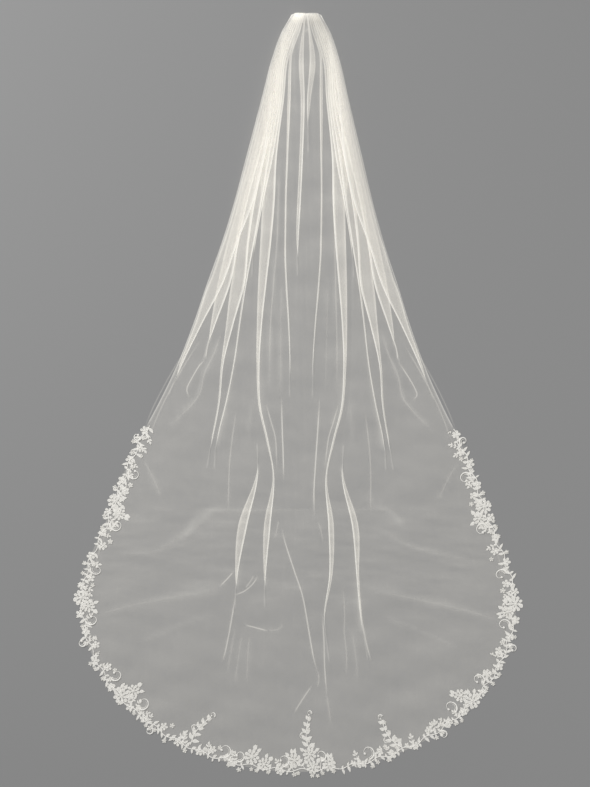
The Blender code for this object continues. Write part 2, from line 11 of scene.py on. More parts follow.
import bpy
import numpy as np
from mathutils.bvhtree import BVHTree
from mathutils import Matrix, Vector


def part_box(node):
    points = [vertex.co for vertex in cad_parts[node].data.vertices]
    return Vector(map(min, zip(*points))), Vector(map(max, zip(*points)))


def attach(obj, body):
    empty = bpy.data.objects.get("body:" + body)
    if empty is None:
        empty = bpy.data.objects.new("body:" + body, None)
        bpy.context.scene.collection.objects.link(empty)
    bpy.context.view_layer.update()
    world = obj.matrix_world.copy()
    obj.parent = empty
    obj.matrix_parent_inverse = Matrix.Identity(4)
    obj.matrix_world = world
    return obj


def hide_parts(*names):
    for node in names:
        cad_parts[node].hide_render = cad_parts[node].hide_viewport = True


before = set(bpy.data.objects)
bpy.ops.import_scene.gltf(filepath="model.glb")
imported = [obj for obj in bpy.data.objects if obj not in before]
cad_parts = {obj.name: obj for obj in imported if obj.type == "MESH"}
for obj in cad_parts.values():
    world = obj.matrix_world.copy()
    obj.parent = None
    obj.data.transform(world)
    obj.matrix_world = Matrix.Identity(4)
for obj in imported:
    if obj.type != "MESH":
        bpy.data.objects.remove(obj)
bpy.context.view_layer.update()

MM = 0.001

# %% [markdown]
# ## Sizes
# Distances along the veil are counted from the heading towards the hem, and distances across it from
# the middle line. The comb's top edge lies a little below the heading, so the comb says where the
# heading is. Each table gives a value for each of the stations, which are distances along the veil.

# %% Stations, widths and the hem
COMB_INSET = 3 * MM
comb_low, comb_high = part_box("comb")
MIDDLE_X = 0.5 * (comb_low[0] + comb_high[0])
HEADING_Y = comb_high[1] + COMB_INSET
COMB_WIDTH = comb_high[0] - comb_low[0]
COMB_TOP = comb_high[2]
COMB_REACH = HEADING_Y - comb_low[1]
COMB_RAMP = 22 * MM
COMB_CLEARANCE = 0.6 * MM

HEM_CENTRE_ALONG = 2344 * MM
HEM_HALF_WIDTH = 868 * MM
HEM_DROP = 680 * MM
HEM_CORNER_ALONG = 2580 * MM
HEADING_SAG = 3 * MM
SAG_FADE = 120 * MM
SHOULDER_OUT = 4 * MM
SHOULDER_ROUND = 4 * MM
SHOULDER_FADE = 25 * MM
LACE_START_ALONG = 1640 * MM
NET_LIFT = 0.5 * MM

STATIONS = (0, 60, 180, 340, 580, 760, 920, 1080, 1240, 1400, 1560, 1700, 1840, 2040, 2240, 2400, 2600)
HALF_WIDTH = (52, 90, 134, 173, 233, 278, 325, 380, 432, 492, 566, 638, 700, 772, 852, 868, 868)
print("the comb is", round(COMB_WIDTH * 1000), "mm wide and the heading is at y =", round(HEADING_Y, 4))

# %% [markdown]
# ## The folds
# Each fold doubles the net back under itself. Its bright edge, the crest, faces the middle of the
# veil, and the hidden turn lies further out by the fold's depth. A depth below nothing means that
# the fold has opened out flat at that station, and a fold is open at every station past the end of its
# row of depths. The table is read from the photo, in millimetres.

# %% The fold table
OPEN = -12
Fold = namedtuple("Fold", "name sides crest depth")
FOLD_ROWS = (
    ("left_arm", "left",
     (2, 6, 8, 2, 6, 12, 19, 22, 22, 22, 22, 22, 22, 22, 22, 22, 22),
     (3, 8, 19, 16, 14, 14, 7)),
    ("right_arm", "right",
     (2, 8, 16, 8, 17, 18, 20, 22, 22, 22, 22, 22, 22, 22, 22, 22, 22),
     (3, 8, 23, 15)),
    ("thin_pleat", "both",
     (7, 20, 56, 58, 65, 69, 69, 62, 51, 44, 48, 52, 56, 60, 66, 70, 80),
     (4, 9, 10, 12, 7, 6, 6, 6, 5, 4)),
    ("lyre_pleat", "left",
     (12, 30, 68, 84, 110, 116, 128, 144, 159, 167, 161, 129, 103, 114, 130, 136, 140),
     (5, 13, 22, 38, 41, 48, 43, 33, 21, 12, 9, 8, 6, 26, 8)),
    ("lyre_pleat", "right",
     (12, 30, 68, 84, 110, 116, 128, 144, 159, 167, 161, 129, 103, 116, 122, 104, 130),
     (5, 13, 22, 38, 41, 48, 43, 33, 21, 12, 9, 8, 6, 22, 13, 4)),
    ("spindle_pleat", "left",
     (18, 39, 78, 92, 126, 162, 190, 206, 208, 208, 198, 176, 167, 206, 242, 254, 270),
     (5, 14, 23, 41, 43, 12, 5, OPEN, OPEN, OPEN, OPEN, OPEN, 7, 36, 10)),
    ("spindle_pleat", "right",
     (18, 39, 78, 92, 126, 162, 190, 206, 208, 208, 198, 176, 167, 210, 231, 248, 284),
     (5, 14, 23, 41, 43, 12, 5, OPEN, OPEN, OPEN, OPEN, OPEN, 7, 26, 11, 6)),
    ("narrow_pleat", "both",
     (24, 47, 86, 100, 139, 168, 195, 223, 246, 267, 297, 329, 345, 352, 360, 370, 380),
     (5, 14, 22, 42, 45, 40, 29, 10, 6, 5, 5, 4)),
    ("fan_pleat_1", "both",
     (30, 55, 94, 110, 158, 194, 216, 230, 272, 310, 324, 349, 378, 430, 462, 475, 485),
     (5, 14, 22, 41, 44, 50, 54, 54, 30, 10, 7, 5)),
    ("fan_pleat_2", "both",
     (35, 63, 100, 120, 180, 225, 257, 287, 343, 396, 424, 456, 488, 528, 580, 600, 610),
     (5, 14, 22, 39, 35, 36, 46, 51, 20)),
    ("edge_pleat", "both",
     (40, 70, 106, 132, 160, 202, 262, 316, 396, 472, 540, 590, 632, 660, 720, 735, 740),
     (5, 14, 22, 35, 66, 70, 57, 57, 29, 11)),
)
FOLDS = [Fold(name, sides, crest, depth + (OPEN,) * (len(STATIONS) - len(depth)))
         for name, sides, crest, depth in FOLD_ROWS]
print(sum(2 if fold.sides == "both" else 1 for fold in FOLDS), "folds")


# %% Reading a table at any place
def bell(values, middle, width):
    """A smooth bump of height one around a middle value."""
    return np.exp(-(((values - middle) / width) ** 2))


def along_table(along, values):
    """A smooth curve through the values at STATIONS, in metres.

    Between two stations it is a cubic whose end slopes are the mean slopes of the neighbours, cut to
    three times the smaller rise so that the curve never overshoots.
    """
    at = np.array(STATIONS) * MM
    value = np.array(values, float) * MM
    slope = np.gradient(value, at)
    rise = np.diff(value) / np.diff(at)
    limit = 3 * np.minimum(np.abs(np.r_[rise[0], rise]), np.abs(np.r_[rise, rise[-1]]))
    slope = np.clip(slope, -limit, limit)
    along = np.clip(along, at[0], at[-1])
    i = np.clip(np.searchsorted(at, along, side="right") - 1, 0, len(at) - 2)
    span = at[i + 1] - at[i]
    t = (along - at[i]) / span
    return ((1 + 2 * t) * (1 - t) ** 2 * value[i] + t * (1 - t) ** 2 * span * slope[i]
            + t * t * (3 - 2 * t) * value[i + 1] - t * t * (1 - t) * span * slope[i + 1])


def edge_half_width(along):
    """Half the net's width: the table down to the widest place, then a half ellipse for the hem.

    At the heading a small shoulder rounds the corner: it starts as a root and fades away.
    """
    past = np.clip((along - HEM_CENTRE_ALONG) / HEM_DROP, 0, 1)
    rounding = 2 * np.sqrt(np.clip(along / SHOULDER_ROUND, 0, 1)) - 0.5
    shoulder = SHOULDER_OUT * rounding * np.exp(-along / SHOULDER_FADE)
    return np.where(along > HEM_CENTRE_ALONG, HEM_HALF_WIDTH * np.sqrt(1 - past**2),
                    along_table(along, HALF_WIDTH) + shoulder)


print("half width at the middle of the veil:", round(float(edge_half_width(1.5)), 3), "m")

# %% [markdown]
# ## How the net stacks up
# Where folds overlap, the net is up to a dozen layers deep, and each layer lies on those under it.
# A cloth simulation of so many pressed layers would be slow and would lose the fold lines, so the
# stack is worked out: each run of cloth between two turns is laid down from the middle outwards, and
# is lifted just enough to clear what is already there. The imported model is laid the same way.

# %% Rows and columns of the sheet
PITCH = 1.6 * MM
STEEPEST = 1.2
CREST_LIFT = 1.4 * MM
FULLY_OPEN = -OPEN * MM
CLOSED_FOLD = 5 * MM
REST_PAST_FOLD = 3 * MM
SETTLING_ROUNDS = 60
SETTLING_SHARE = 0.3
PLACES_PER_ROW = 4
ACROSS_STEP = 1.5 * MM
ACROSS_SPARE = 20 * MM
CLEAR_ENOUGH = 0.03 * MM
LIFT_EXTRA = 0.01 * MM
RUN_INSET = 0.6 * MM
RUN_OUTSET = 1.2 * MM
NARROWEST_REST = 0.5 * MM
SHUT_HEIGHTS = (0.0, PITCH, CREST_LIFT + PITCH, CREST_LIFT + 2 * PITCH)
RIDGE = ((-1.5, 0.3), (-0.3, 1.7), (1.2, 3.0), (3.2, 3.0))
OPENED = (-12, -8, -4, 0)
RIDGE_FOOT = 4 * MM
LAID_ROWS = (0, 25, 60, 110, 180, 260, 340, 460, 580, 610, 680, 760, 920, 1000, 1240, 1320, 1400, 1480,
             1560, 1700, 1770, 1840, 1940, 2040, 2240, 2300, 2344)
LAID_HEM_SHARES = (0.19, 0.55, 1.0)
ROW_STEP = 16 * MM
HEADING_ROWS = (4 * MM, 9 * MM)
HEM_ROWS = 42


def row_alongs(straight, hem_shares):
    """For each row, how far along the veil it lies at the middle line and at the net's edge.

    Straight rows have the same distance at both; the last rows bend until they follow the hem.
    """
    shares = np.asarray(hem_shares)
    middle = np.concatenate([straight, HEM_CENTRE_ALONG + shares * HEM_DROP])
    edge = np.concatenate([straight, HEM_CENTRE_ALONG + shares * (HEM_CORNER_ALONG - HEM_CENTRE_ALONG)])
    return middle, edge


def columns_of(side, along, width):
    """The turns and rests of one half of the sheet, middle line to edge, for every row at once.

    Each fold has five columns: the two corners of its hidden turn, the two of its crest, and a rest
    just past the turn where the upper layer starts down. Where a fold ends, its corners first stand up
    as a small ridge and then lie flat. A run is the columns between two turns.
    """
    folds = [fold for fold in FOLDS if fold.sides in (side, "both")]
    crests = [along_table(along, fold.crest) for fold in folds]
    depths = [along_table(along, fold.depth) for fold in folds]
    roots = [crest + depth for crest, depth in zip(crests, depths)] + [width]
    flat = np.zeros_like(along)
    out, height, runs, run = [flat], [flat], [], [0]
    for k, (crest, depth) in enumerate(zip(crests, depths)):
        closed = np.clip(depth / CLOSED_FOLD, 0, 1)
        raised = np.clip(1 + depth / FULLY_OPEN, 0, 1)
        outer = np.maximum(roots[k], crest)
        room = np.clip(roots[k + 1] - outer, NARROWEST_REST, None)
        start = len(out)
        shut_places = (roots[k], roots[k], crest, crest)
        for flat_at, ridge, shut_at, shut_height in zip(OPENED, RIDGE, shut_places, SHUT_HEIGHTS):
            open_at = crest + (flat_at + (ridge[0] - flat_at) * raised) * MM
            out.append(open_at + (shut_at - open_at) * closed)
            height.append(raised * ridge[1] * MM * (1 - closed) + closed * shut_height)
        out.append(outer + np.minimum(REST_PAST_FOLD + (1 - closed) * RIDGE_FOOT, 0.5 * room))
        height.append(flat)
        runs += [run + [start], [start + 1, start + 2]]
        run = [start + 3, start + 4]
    out += [0.5 * (out[-1] + width), width]
    height += [flat, flat]
    runs.append(run + [len(out) - 2, len(out) - 1])
    return np.array(out).T, np.array(height).T, runs, np.array(depths).T


# %% Laying the runs down
def between_rows(values):
    """The values of every row and of three places between each two rows."""
    shares = np.arange(PLACES_PER_ROW) / PLACES_PER_ROW
    parts = [values[:-1] * (1 - share) + values[1:] * share for share in shares]
    return np.concatenate([np.stack(parts, 1).reshape(-1, *values.shape[1:]), values[-1:]])


def over_comb(along, across):
    """The least height of net over the comb: its thickness, falling to nothing beside and below it."""
    below = np.clip((COMB_REACH + 2 * COMB_RAMP - along) / COMB_RAMP, 0, 1)
    beside = np.clip((COMB_WIDTH / 2 + 2 * COMB_RAMP - across) / COMB_RAMP, 0, 1)
    return (COMB_TOP + COMB_CLEARANCE) * below * beside


def lift_segment(height, ends, need, share):
    """Lift both ends of a segment, in the rows beside every place, by the least that clears it."""
    place = np.arange(len(need)) / PLACES_PER_ROW
    row_share = place - np.floor(place)
    row_total = (1 - row_share) ** 2 + row_share**2
    end_total = (1 - share) ** 2 + share**2
    upper_share = np.where(row_share > 0, row_share, 1)
    for row, of_row in ((np.floor(place), 1 - row_share), (np.ceil(place), upper_share)):
        for end, of_end in zip(ends, (1 - share, share)):
            lift = np.zeros(len(height))
            np.maximum.at(lift, row.astype(int), need * of_row / row_total * of_end / end_total)
            height[:, end] += lift


def draped(along, out, height, runs):
    """The height of every column once each run rests on what is under it.

    floor keeps, for steps across the veil, the least height of the next run. A segment that lies
    under it is lifted a little many times, until all of it is clear, and then it raises the floor.
    """
    across = np.arange(0, HEM_HALF_WIDTH + ACROSS_SPARE, ACROSS_STEP)[None]
    floor = over_comb(between_rows(along)[:, None], across)
    height = np.maximum(height, over_comb(along[:, None], out))
    wide = between_rows(out)
    lines = np.arange(len(wide))

    def segment(a, b, margin):
        """Which places lie over the segment, their shares along it, its height there and its slope."""
        xa, xb = wide[:, [a]], wide[:, [b]]
        za, zb = between_rows(height[:, a])[:, None], between_rows(height[:, b])[:, None]
        length = np.where(np.abs(xb - xa) < 0.01 * MM, MM, xb - xa)
        share = np.clip((across - xa) / length, 0, 1)
        inside = (across >= np.minimum(xa, xb) + margin) & (across <= np.maximum(xa, xb) - margin)
        return inside, share, za + share * (zb - za), np.minimum(np.abs((zb - za) / length), STEEPEST)

    for run in runs:
        for _ in range(SETTLING_ROUNDS):
            lifted = 0.0
            for a, b in zip(run[:-1], run[1:]):
                inside, share, line, _ = segment(a, b, RUN_INSET)
                short = np.where(inside, floor - line, 0)
                worst = np.argmax(short, axis=1)
                need = short[lines, worst]
                need = np.where(need > CLEAR_ENOUGH, need + LIFT_EXTRA, 0)
                lift_segment(height, (a, b), SETTLING_SHARE * need, share[lines, worst])
                lifted = max(lifted, need.max())
            if lifted == 0.0:
                break
        for a, b in zip(run[:-1], run[1:]):
            inside, share, line, slope = segment(a, b, -RUN_OUTSET)
            floor = np.where(inside, np.maximum(floor, line + PITCH * np.sqrt(1 + slope**2)), floor)
    return height


# %% [markdown]
# ## The creases that aren't folds
# Net keeps every press mark. The long soft lines, the packing creases across the middle and the small
# wrinkles near the hem are listed: each is a width, a height, a strength by which the net looks denser
# and paler there, partly a painted highlight along the crease, the strength of a sharp bright line
# along its middle, where the net stands on edge and a highlight is painted, and a short route. All
# distances are in millimetres. The paired creases lie on both sides.

# %% Listed creases
Crease = namedtuple("Crease", "width rise dense sharp route")
SINGLE_CREASES = (
    (8, 1.6, 0.10, 0.26, ((-100, 560), (-104, 896), (-116, 1088), (-125, 1240), (-129, 1508))),
    (8, 1.6, 0.10, 0.26, ((116, 560), (122, 800), (132, 1088), (140, 1300), (143, 1508))),
    (7, 1.0, 0.09, 0.10, ((-86, 1060), (-84, 1300), (-80, 1520))),
    (7, 1.0, 0.09, 0.10, ((102, 1060), (99, 1300), (97, 1520))),
    (6, 1.8, 0.06, 0.60, ((-364, 1284), (-377, 1345), (-383, 1384))),
    (7, 1.8, 0.06, 0.50, ((-383, 1384), (-408, 1412), (-436, 1461), (-455, 1503), (-446, 1540))),
    (6, 1.8, 0.06, 0.60, ((366, 1292), (379, 1340), (384, 1380))),
    (7, 1.8, 0.06, 0.50, ((384, 1380), (420, 1433), (452, 1486), (462, 1516), (445, 1537))),
    (5, 1.0, 0.05, 0.42, ((-142, 1550), (-118, 1630), (-99, 1700), (-92, 1820))),
    (5, 1.0, 0.05, 0.42, ((152, 1550), (130, 1630), (111, 1700), (98, 1820))),
    (7, 1.2, 0.05, 0.05, ((-568, 1992), (-300, 1984), (0, 1980), (300, 1974), (592, 1976))),
    (12, 1.8, 0.08, 0.06, ((-328, 1976), (-448, 2084), (-568, 2144))),
    (12, 1.4, 0.07, 0.05, ((330, 2060), (450, 2120), (600, 2140))),
    (5, 1.0, 0.04, 0.35, ((-20, 92), (-5, 76), (14, 54))),
    (5, 2.2, 0.06, 0.55, ((-71, 2048), (-53, 2117), (-17, 2223), (19, 2329), (48, 2481),
     (64, 2565), (84, 2633))),
    (6, 1.4, 0.05, 0.25, ((84, 2625), (87, 2655), (82, 2687))),
    (5, 1.8, 0.04, 0.45, ((62, 2676), (24, 2733), (-13, 2795))),
    (5, 1.8, 0.06, 0.50, ((98, 2397), (105, 2496), (110, 2610), (120, 2724))),
    (7, 1.4, 0.05, 0.20, ((120, 2717), (127, 2763), (138, 2835))),
    (6, 2.2, 0.07, 0.50, ((-250, 2325), (-266, 2432), (-284, 2532), (-299, 2593))),
    (5, 2.0, 0.05, 0.50, ((-158, 2242), (-184, 2280), (-217, 2308), (-257, 2324))),
    (5, 1.4, 0.03, 0.35, ((-176, 2242), (-194, 2271), (-212, 2297))),
    (5, 1.8, 0.05, 0.50, ((-256, 2226), (-284, 2259), (-314, 2290))),
    (5, 2.2, 0.06, 0.50, ((-212, 2441), (-166, 2452), (-115, 2465))),
    (7, 1.4, 0.06, 0.16, ((-121, 2464), (-79, 2457), (-55, 2434))),
    (8, 1.2, 0.06, 0.18, ((-193, 2477), (-198, 2576), (-201, 2668))),
    (8, 1.0, 0.06, 0.14, ((-220, 2470), (-234, 2562), (-247, 2676))),
    (8, 1.0, 0.05, 0.10, ((-247, 2447), (-264, 2539), (-278, 2639))),
    (7, 1.6, 0.07, 0.26, ((178, 2281), (186, 2380), (186, 2464), (196, 2556), (195, 2647))),
    (8, 1.0, 0.06, 0.14, ((215, 2452), (232, 2555), (245, 2669))),
    (6, 1.8, 0.06, 0.50, ((247, 2318), (254, 2402), (273, 2501), (295, 2586))),
    (5, 1.2, 0.05, 0.60, ((-78, 1522), (-73, 1659), (-68, 1751), (-64, 1869))),
    (5, 1.2, 0.05, 0.60, ((75, 1520), (69, 1657), (61, 1810), (57, 1909), (60, 2010))),
    (5, 1.0, 0.04, 0.20, ((-81, 2018), (-88, 2056), (-97, 2098))),
    (5, 1.0, 0.04, 0.20, ((75, 2023), (87, 2061), (97, 2111))),
    (14, 2.0, 0.10, 0.00, ((-465, 2092), (-405, 2015), (-352, 1985), (-284, 1973))),
    (14, 2.0, 0.10, 0.00, ((281, 1963), (334, 1968), (372, 1989), (419, 2041))),
)
PAIRED_CREASES = (
    (9, 2.0, 0.09, 0.20, ((-318, 1266), (-348, 1358), (-386, 1441), (-414, 1540), (-536, 1668))),
    (5, 1.0, 0.03, 0.30, ((-400, 1300), (-484, 1440), (-552, 1570), (-604, 1700))),
    (5, 1.0, 0.03, 0.22, ((-430, 1300), (-512, 1430), (-580, 1560), (-622, 1660))),
    (6, 1.4, 0.05, 0.30, ((-256, 1576), (-280, 1784), (-284, 2004))),
    (9, 1.0, 0.07, 0.00, ((-196, 1560), (-206, 1660), (-212, 1740))),
    (15, 2.6, 0.13, 0.16, ((-708, 1944), (-756, 2044), (-792, 2144), (-820, 2244))),
    (9, 2.0, 0.09, 0.14, ((-628, 1784), (-590, 1850), (-548, 1944))),
    (14, 1.9, 0.08, 0.09, ((-296, 2296), (-500, 2334), (-688, 2376), (-800, 2410))),
    (10, 1.4, 0.05, 0.05, ((-420, 2110), (-560, 2150), (-700, 2168))),
    (10, 1.4, 0.05, 0.04, ((-340, 2400), (-480, 2450), (-640, 2520))),
)


def placed_creases():
    """Each crease with its route in metres, and a paired one again with its mirror image."""
    placed = []
    for row in SINGLE_CREASES + PAIRED_CREASES:
        crease = Crease(*row)
        route = np.array(crease.route, float) * MM
        placed.append((crease, route))
        if row in PAIRED_CREASES:
            placed.append((crease, route * (-1, 1)))
    return placed


CREASES = placed_creases()
print(len(CREASES), "creases placed")


# %% What the creases do to the net
CREASE_REACH = 4
END_STRENGTH = 0.25
ENDS_PER_ROUTE = 6
WAVE_TURN = 9
WAVE_SWAY = 0.35
SWAY_LENGTH = 2.3
FULL_TURN = 6.3


def smooth_route(points, steps):
    """A route through a few points as a smooth curve: each stretch is a cubic through its neighbours."""
    points = np.array(points, float)
    ends = np.concatenate([[2 * points[0] - points[1]], points, [2 * points[-1] - points[-2]]])
    t = np.linspace(0, 1, steps, endpoint=False)[:, None]
    parts = [0.5 * (2 * b + (c - a) * t + (2 * a - 5 * b + 4 * c - d) * t**2 + (3 * b - a - 3 * c + d) * t**3)
             for a, b, c, d in zip(ends[:-3], ends[1:-2], ends[2:-1], ends[3:])]
    return np.concatenate(parts + [points[-1:]])


def crease_fields(across, along):
    """How much every crease lifts the net at each place, and how much it thickens the net, which also paints
    a paler line of light along it.

    The distance to a route is the least distance to its straight stretches, its profile across is a
    bell curve of the crease's width, and both ends fade to a quarter over a sixth of the route.
    """
    rise, dense = np.zeros_like(across), np.zeros_like(across)
    for crease, points in CREASES:
        width = crease.width * MM
        steps = np.hypot(*np.diff(points, axis=0).T)
        reach = np.concatenate([[0], np.cumsum(steps)])
        spare = CREASE_REACH * width
        low, high = points.min(axis=0) - spare, points.max(axis=0) + spare
        near = (across > low[0]) & (across < high[0]) & (along > low[1]) & (along < high[1])
        place = np.stack([across[near], along[near]], axis=1)
        best, where = np.full(len(place), np.inf), np.zeros(len(place))
        for start, end, step, before in zip(points[:-1], points[1:], steps, reach):
            share = np.clip(((place - start) @ (end - start)) / step**2, 0, 1)
            gap = np.hypot(*(place - start - share[:, None] * (end - start)).T)
            where = np.where(gap < best, before + share * step, where)
            best = np.minimum(best, gap)
        ends = np.clip(ENDS_PER_ROUTE * np.minimum(where, reach[-1] - where) / reach[-1], 0, 1)
        profile = bell(best, 0, width) * (END_STRENGTH + (1 - END_STRENGTH) * ends)
        rise[near] += crease.rise * MM * profile
        dense[near] += crease.dense * profile
    return rise, dense


def ripples(across, along, seed, waves):
    """Soft waves of given lengths and directions added together, from about -1 to 1.

    The small turns and the phases of the waves come from the seed.
    """
    rng = np.random.default_rng(seed)
    total = np.zeros_like(across)
    for wavelength, degrees in waves:
        turn = math.radians(degrees + rng.uniform(-WAVE_TURN, WAVE_TURN))
        way = across * math.cos(turn) + along * math.sin(turn)
        sway = WAVE_SWAY * np.sin(way / (SWAY_LENGTH * wavelength) + rng.uniform(0, FULL_TURN))
        total += np.sin(2 * math.pi * (way / wavelength + sway) + rng.uniform(0, FULL_TURN))
    return total / len(waves)


# %% [markdown]
# ## The net itself
# The sheet is a single surface with no thickness, like real net, on the same columns as the folds.
# Extra columns crowd near each turn, so that a fold has a rounded, sharp-looking edge. Two attributes
# go with the mesh: the density attribute says how solid the net looks at each point, and along folds,
# creases and ripples it also carries painted light and shade; the UV map `cloth` holds real distances
# over the cloth, so that the mesh pattern follows the folds.

# %% Spreading the columns
COLUMNS_PER_STRETCH = {"turn": 2, "under": 6, "over": 6, "wide": 9}
LINE_STEP = 3 * MM
# Line strengths: the net is more solid along its turns and crests, where it stands on edge, and the same
# values paint a highlight there.
LINE_DENSE = 0.45
HIDDEN_LINE_DENSE = 0.30
RIDGE_DENSE = 0.12
UNDER_DENSE = 0.03
BESIDE_LINE = 0.8
WIDE_GAP_POWER = 12
LINE_FULL_ALONG = 0.55
LINE_LEAST = 0.22
GATHER_DENSE, GATHER_FADE = 0.05, 0.42
HEADING_DENSE, HEADING_FADE = 0.45, 20 * MM
EDGE_DENSE, EDGE_LINE = 0.35, 6 * MM


def stretch_kinds(folds):
    """The kind of each gap between two neighbouring columns, middle line to edge."""
    kinds = ["wide"]
    for _ in range(folds):
        kinds += ["turn", "under", "turn", "over", "wide"]
    return kinds + ["wide"]


def stretch_shares(out, kinds):
    """How far along each gap its columns stand, row by row.

    In a fold, columns stand 3 and 6 mm from each turn. The wide gaps crowd to both ends as a cosine.
    """
    shares = []
    for i, kind in enumerate(kinds):
        count = COLUMNS_PER_STRETCH[kind]
        if kind in ("under", "over"):
            gap = np.maximum(np.abs(out[:, i + 1] - out[:, i]), 0.1 * MM)
            near = np.minimum(LINE_STEP / gap, 0.2)
            half = np.full_like(near, 0.5)
            shares.append(np.stack([0 * near, near, 2 * near, half, 1 - 2 * near, 1 - near], axis=1))
        else:
            even = 0.5 - 0.5 * np.cos(math.pi * np.arange(count) / count)
            shares.append(np.tile(even, (len(out), 1)))
    return shares


def spread(values, shares):
    """Values at all the columns, straight between the given ones."""
    parts = [values[:, [i]] * (1 - share) + values[:, [i + 1]] * share for i, share in enumerate(shares)]
    return np.concatenate(parts + [values[:, -1:]], axis=1)


def spread_lines(values, shares, kinds):
    """Line strengths at all the columns: they fade within 6 mm of a turn, and fast in a wide gap."""
    parts = []
    for i, (share, kind) in enumerate(zip(shares, kinds)):
        power = WIDE_GAP_POWER if kind == "wide" else 1
        part = values[:, [i]] * (1 - share) ** power + values[:, [i + 1]] * share**power
        if kind in ("under", "over"):
            part[:, 1] = BESIDE_LINE * values[:, i]
            part[:, 2:5] = UNDER_DENSE if kind == "under" else 0.0
            part[:, 5] = BESIDE_LINE * values[:, i + 1]
        parts.append(part)
    return np.concatenate(parts + [values[:, -1:]], axis=1)


def rounded(values, rounds):
    """Average each column with its neighbours a few times, which rounds the corners of the turns."""
    for _ in range(rounds):
        values = np.concatenate([values[:, :1], 0.25 * values[:, :-2] + 0.5 * values[:, 1:-1]
                                 + 0.25 * values[:, 2:], values[:, -1:]], axis=1)
    return values


def half_sheet(side, along_middle, along_edge):
    """One half of the net: distances across and along, heights, line strengths, distances from the edge.

    The lines are weak in the gathers, where so many lie together. Rows past the widest place bend to
    the hem: their distance along shrinks by the root of one minus the squared share across.
    """
    laid_middle, laid_edge = row_alongs(np.array(LAID_ROWS) * MM, LAID_HEM_SHARES)
    laid_width = edge_half_width(laid_edge)
    out, height, runs, _ = columns_of(side, laid_middle, laid_width)
    laid = draped(laid_middle, out, height, runs)
    width = edge_half_width(along_edge)
    out, _, _, depths = columns_of(side, along_middle, width)
    height = np.stack([np.interp(along_middle, laid_middle, column) for column in laid.T], axis=1)
    line = np.zeros_like(out)
    folded = np.clip(depths / CLOSED_FOLD, 0, 1)
    ridged = depths > -0.9 * FULLY_OPEN
    for k in range(depths.shape[1]):
        first = 1 + 5 * k
        line[:, first:first + 2] = HIDDEN_LINE_DENSE * folded[:, [k]]
        line[:, first + 2:first + 4] = LINE_DENSE * folded[:, [k]] + RIDGE_DENSE * ridged[:, [k]]
    kinds = stretch_kinds(depths.shape[1])
    shares = stretch_shares(out, kinds)
    line = spread_lines(line, shares, kinds)
    line *= np.clip(along_middle / LINE_FULL_ALONG, LINE_LEAST, 1)[:, None]
    line += GATHER_DENSE * bell(along_middle, 0, GATHER_FADE)[:, None]
    line += HEADING_DENSE * bell(along_middle, 0, HEADING_FADE)[:, None]
    out, height = spread(out, shares), spread(height, shares)
    share = np.clip(out / width[:, None], 0, 1)
    corner_share = math.sqrt(1 - ((HEM_CORNER_ALONG - HEM_CENTRE_ALONG) / HEM_DROP) ** 2)
    bend = (along_middle[:, None] - HEM_CENTRE_ALONG) * np.sqrt(1 - (corner_share * share) ** 2)
    sag = HEADING_SAG * share**2 * np.exp(-along_middle[:, None] / SAG_FADE)
    along = np.where(along_middle[:, None] > HEM_CENTRE_ALONG, HEM_CENTRE_ALONG + bend,
                     along_middle[:, None] + sag)
    return rounded(out, 1), along, rounded(height, 2), line, width[:, None] - out


# %% The whole sheet
SOFT_SEED, BELT_SEED, PLEAT_SEED = 5, 8, 3
SOFT_WAVES = ((0.21, 82), (0.13, 74), (0.34, 20), (0.09, 95), (0.17, 62))
BELT_WAVES = ((0.042, 88), (0.063, 97), (0.033, 80), (0.051, 91))
PLEAT_WAVES = ((0.037, 3), (0.026, -4), (0.055, 2))
SOFT_HEIGHT, BELT_HEIGHT, PLEAT_HEIGHT = 1.1 * MM, 0.7 * MM, 0.8 * MM
# How much the waves paint light and shade on the net: more solid and paler on their rises, thinner and darker
# in their hollows.
SOFT_PAINTED_SHADE, BELT_PAINTED_SHADE, PLEAT_PAINTED_SHADE = 0.06, 0.05, 0.05
SOFT_RAISED = 0.2
BELT_ALONG, BELT_WIDTH = 2.15, 0.24
PLEAT_FADE = 0.9
CALM_EDGE = 110 * MM


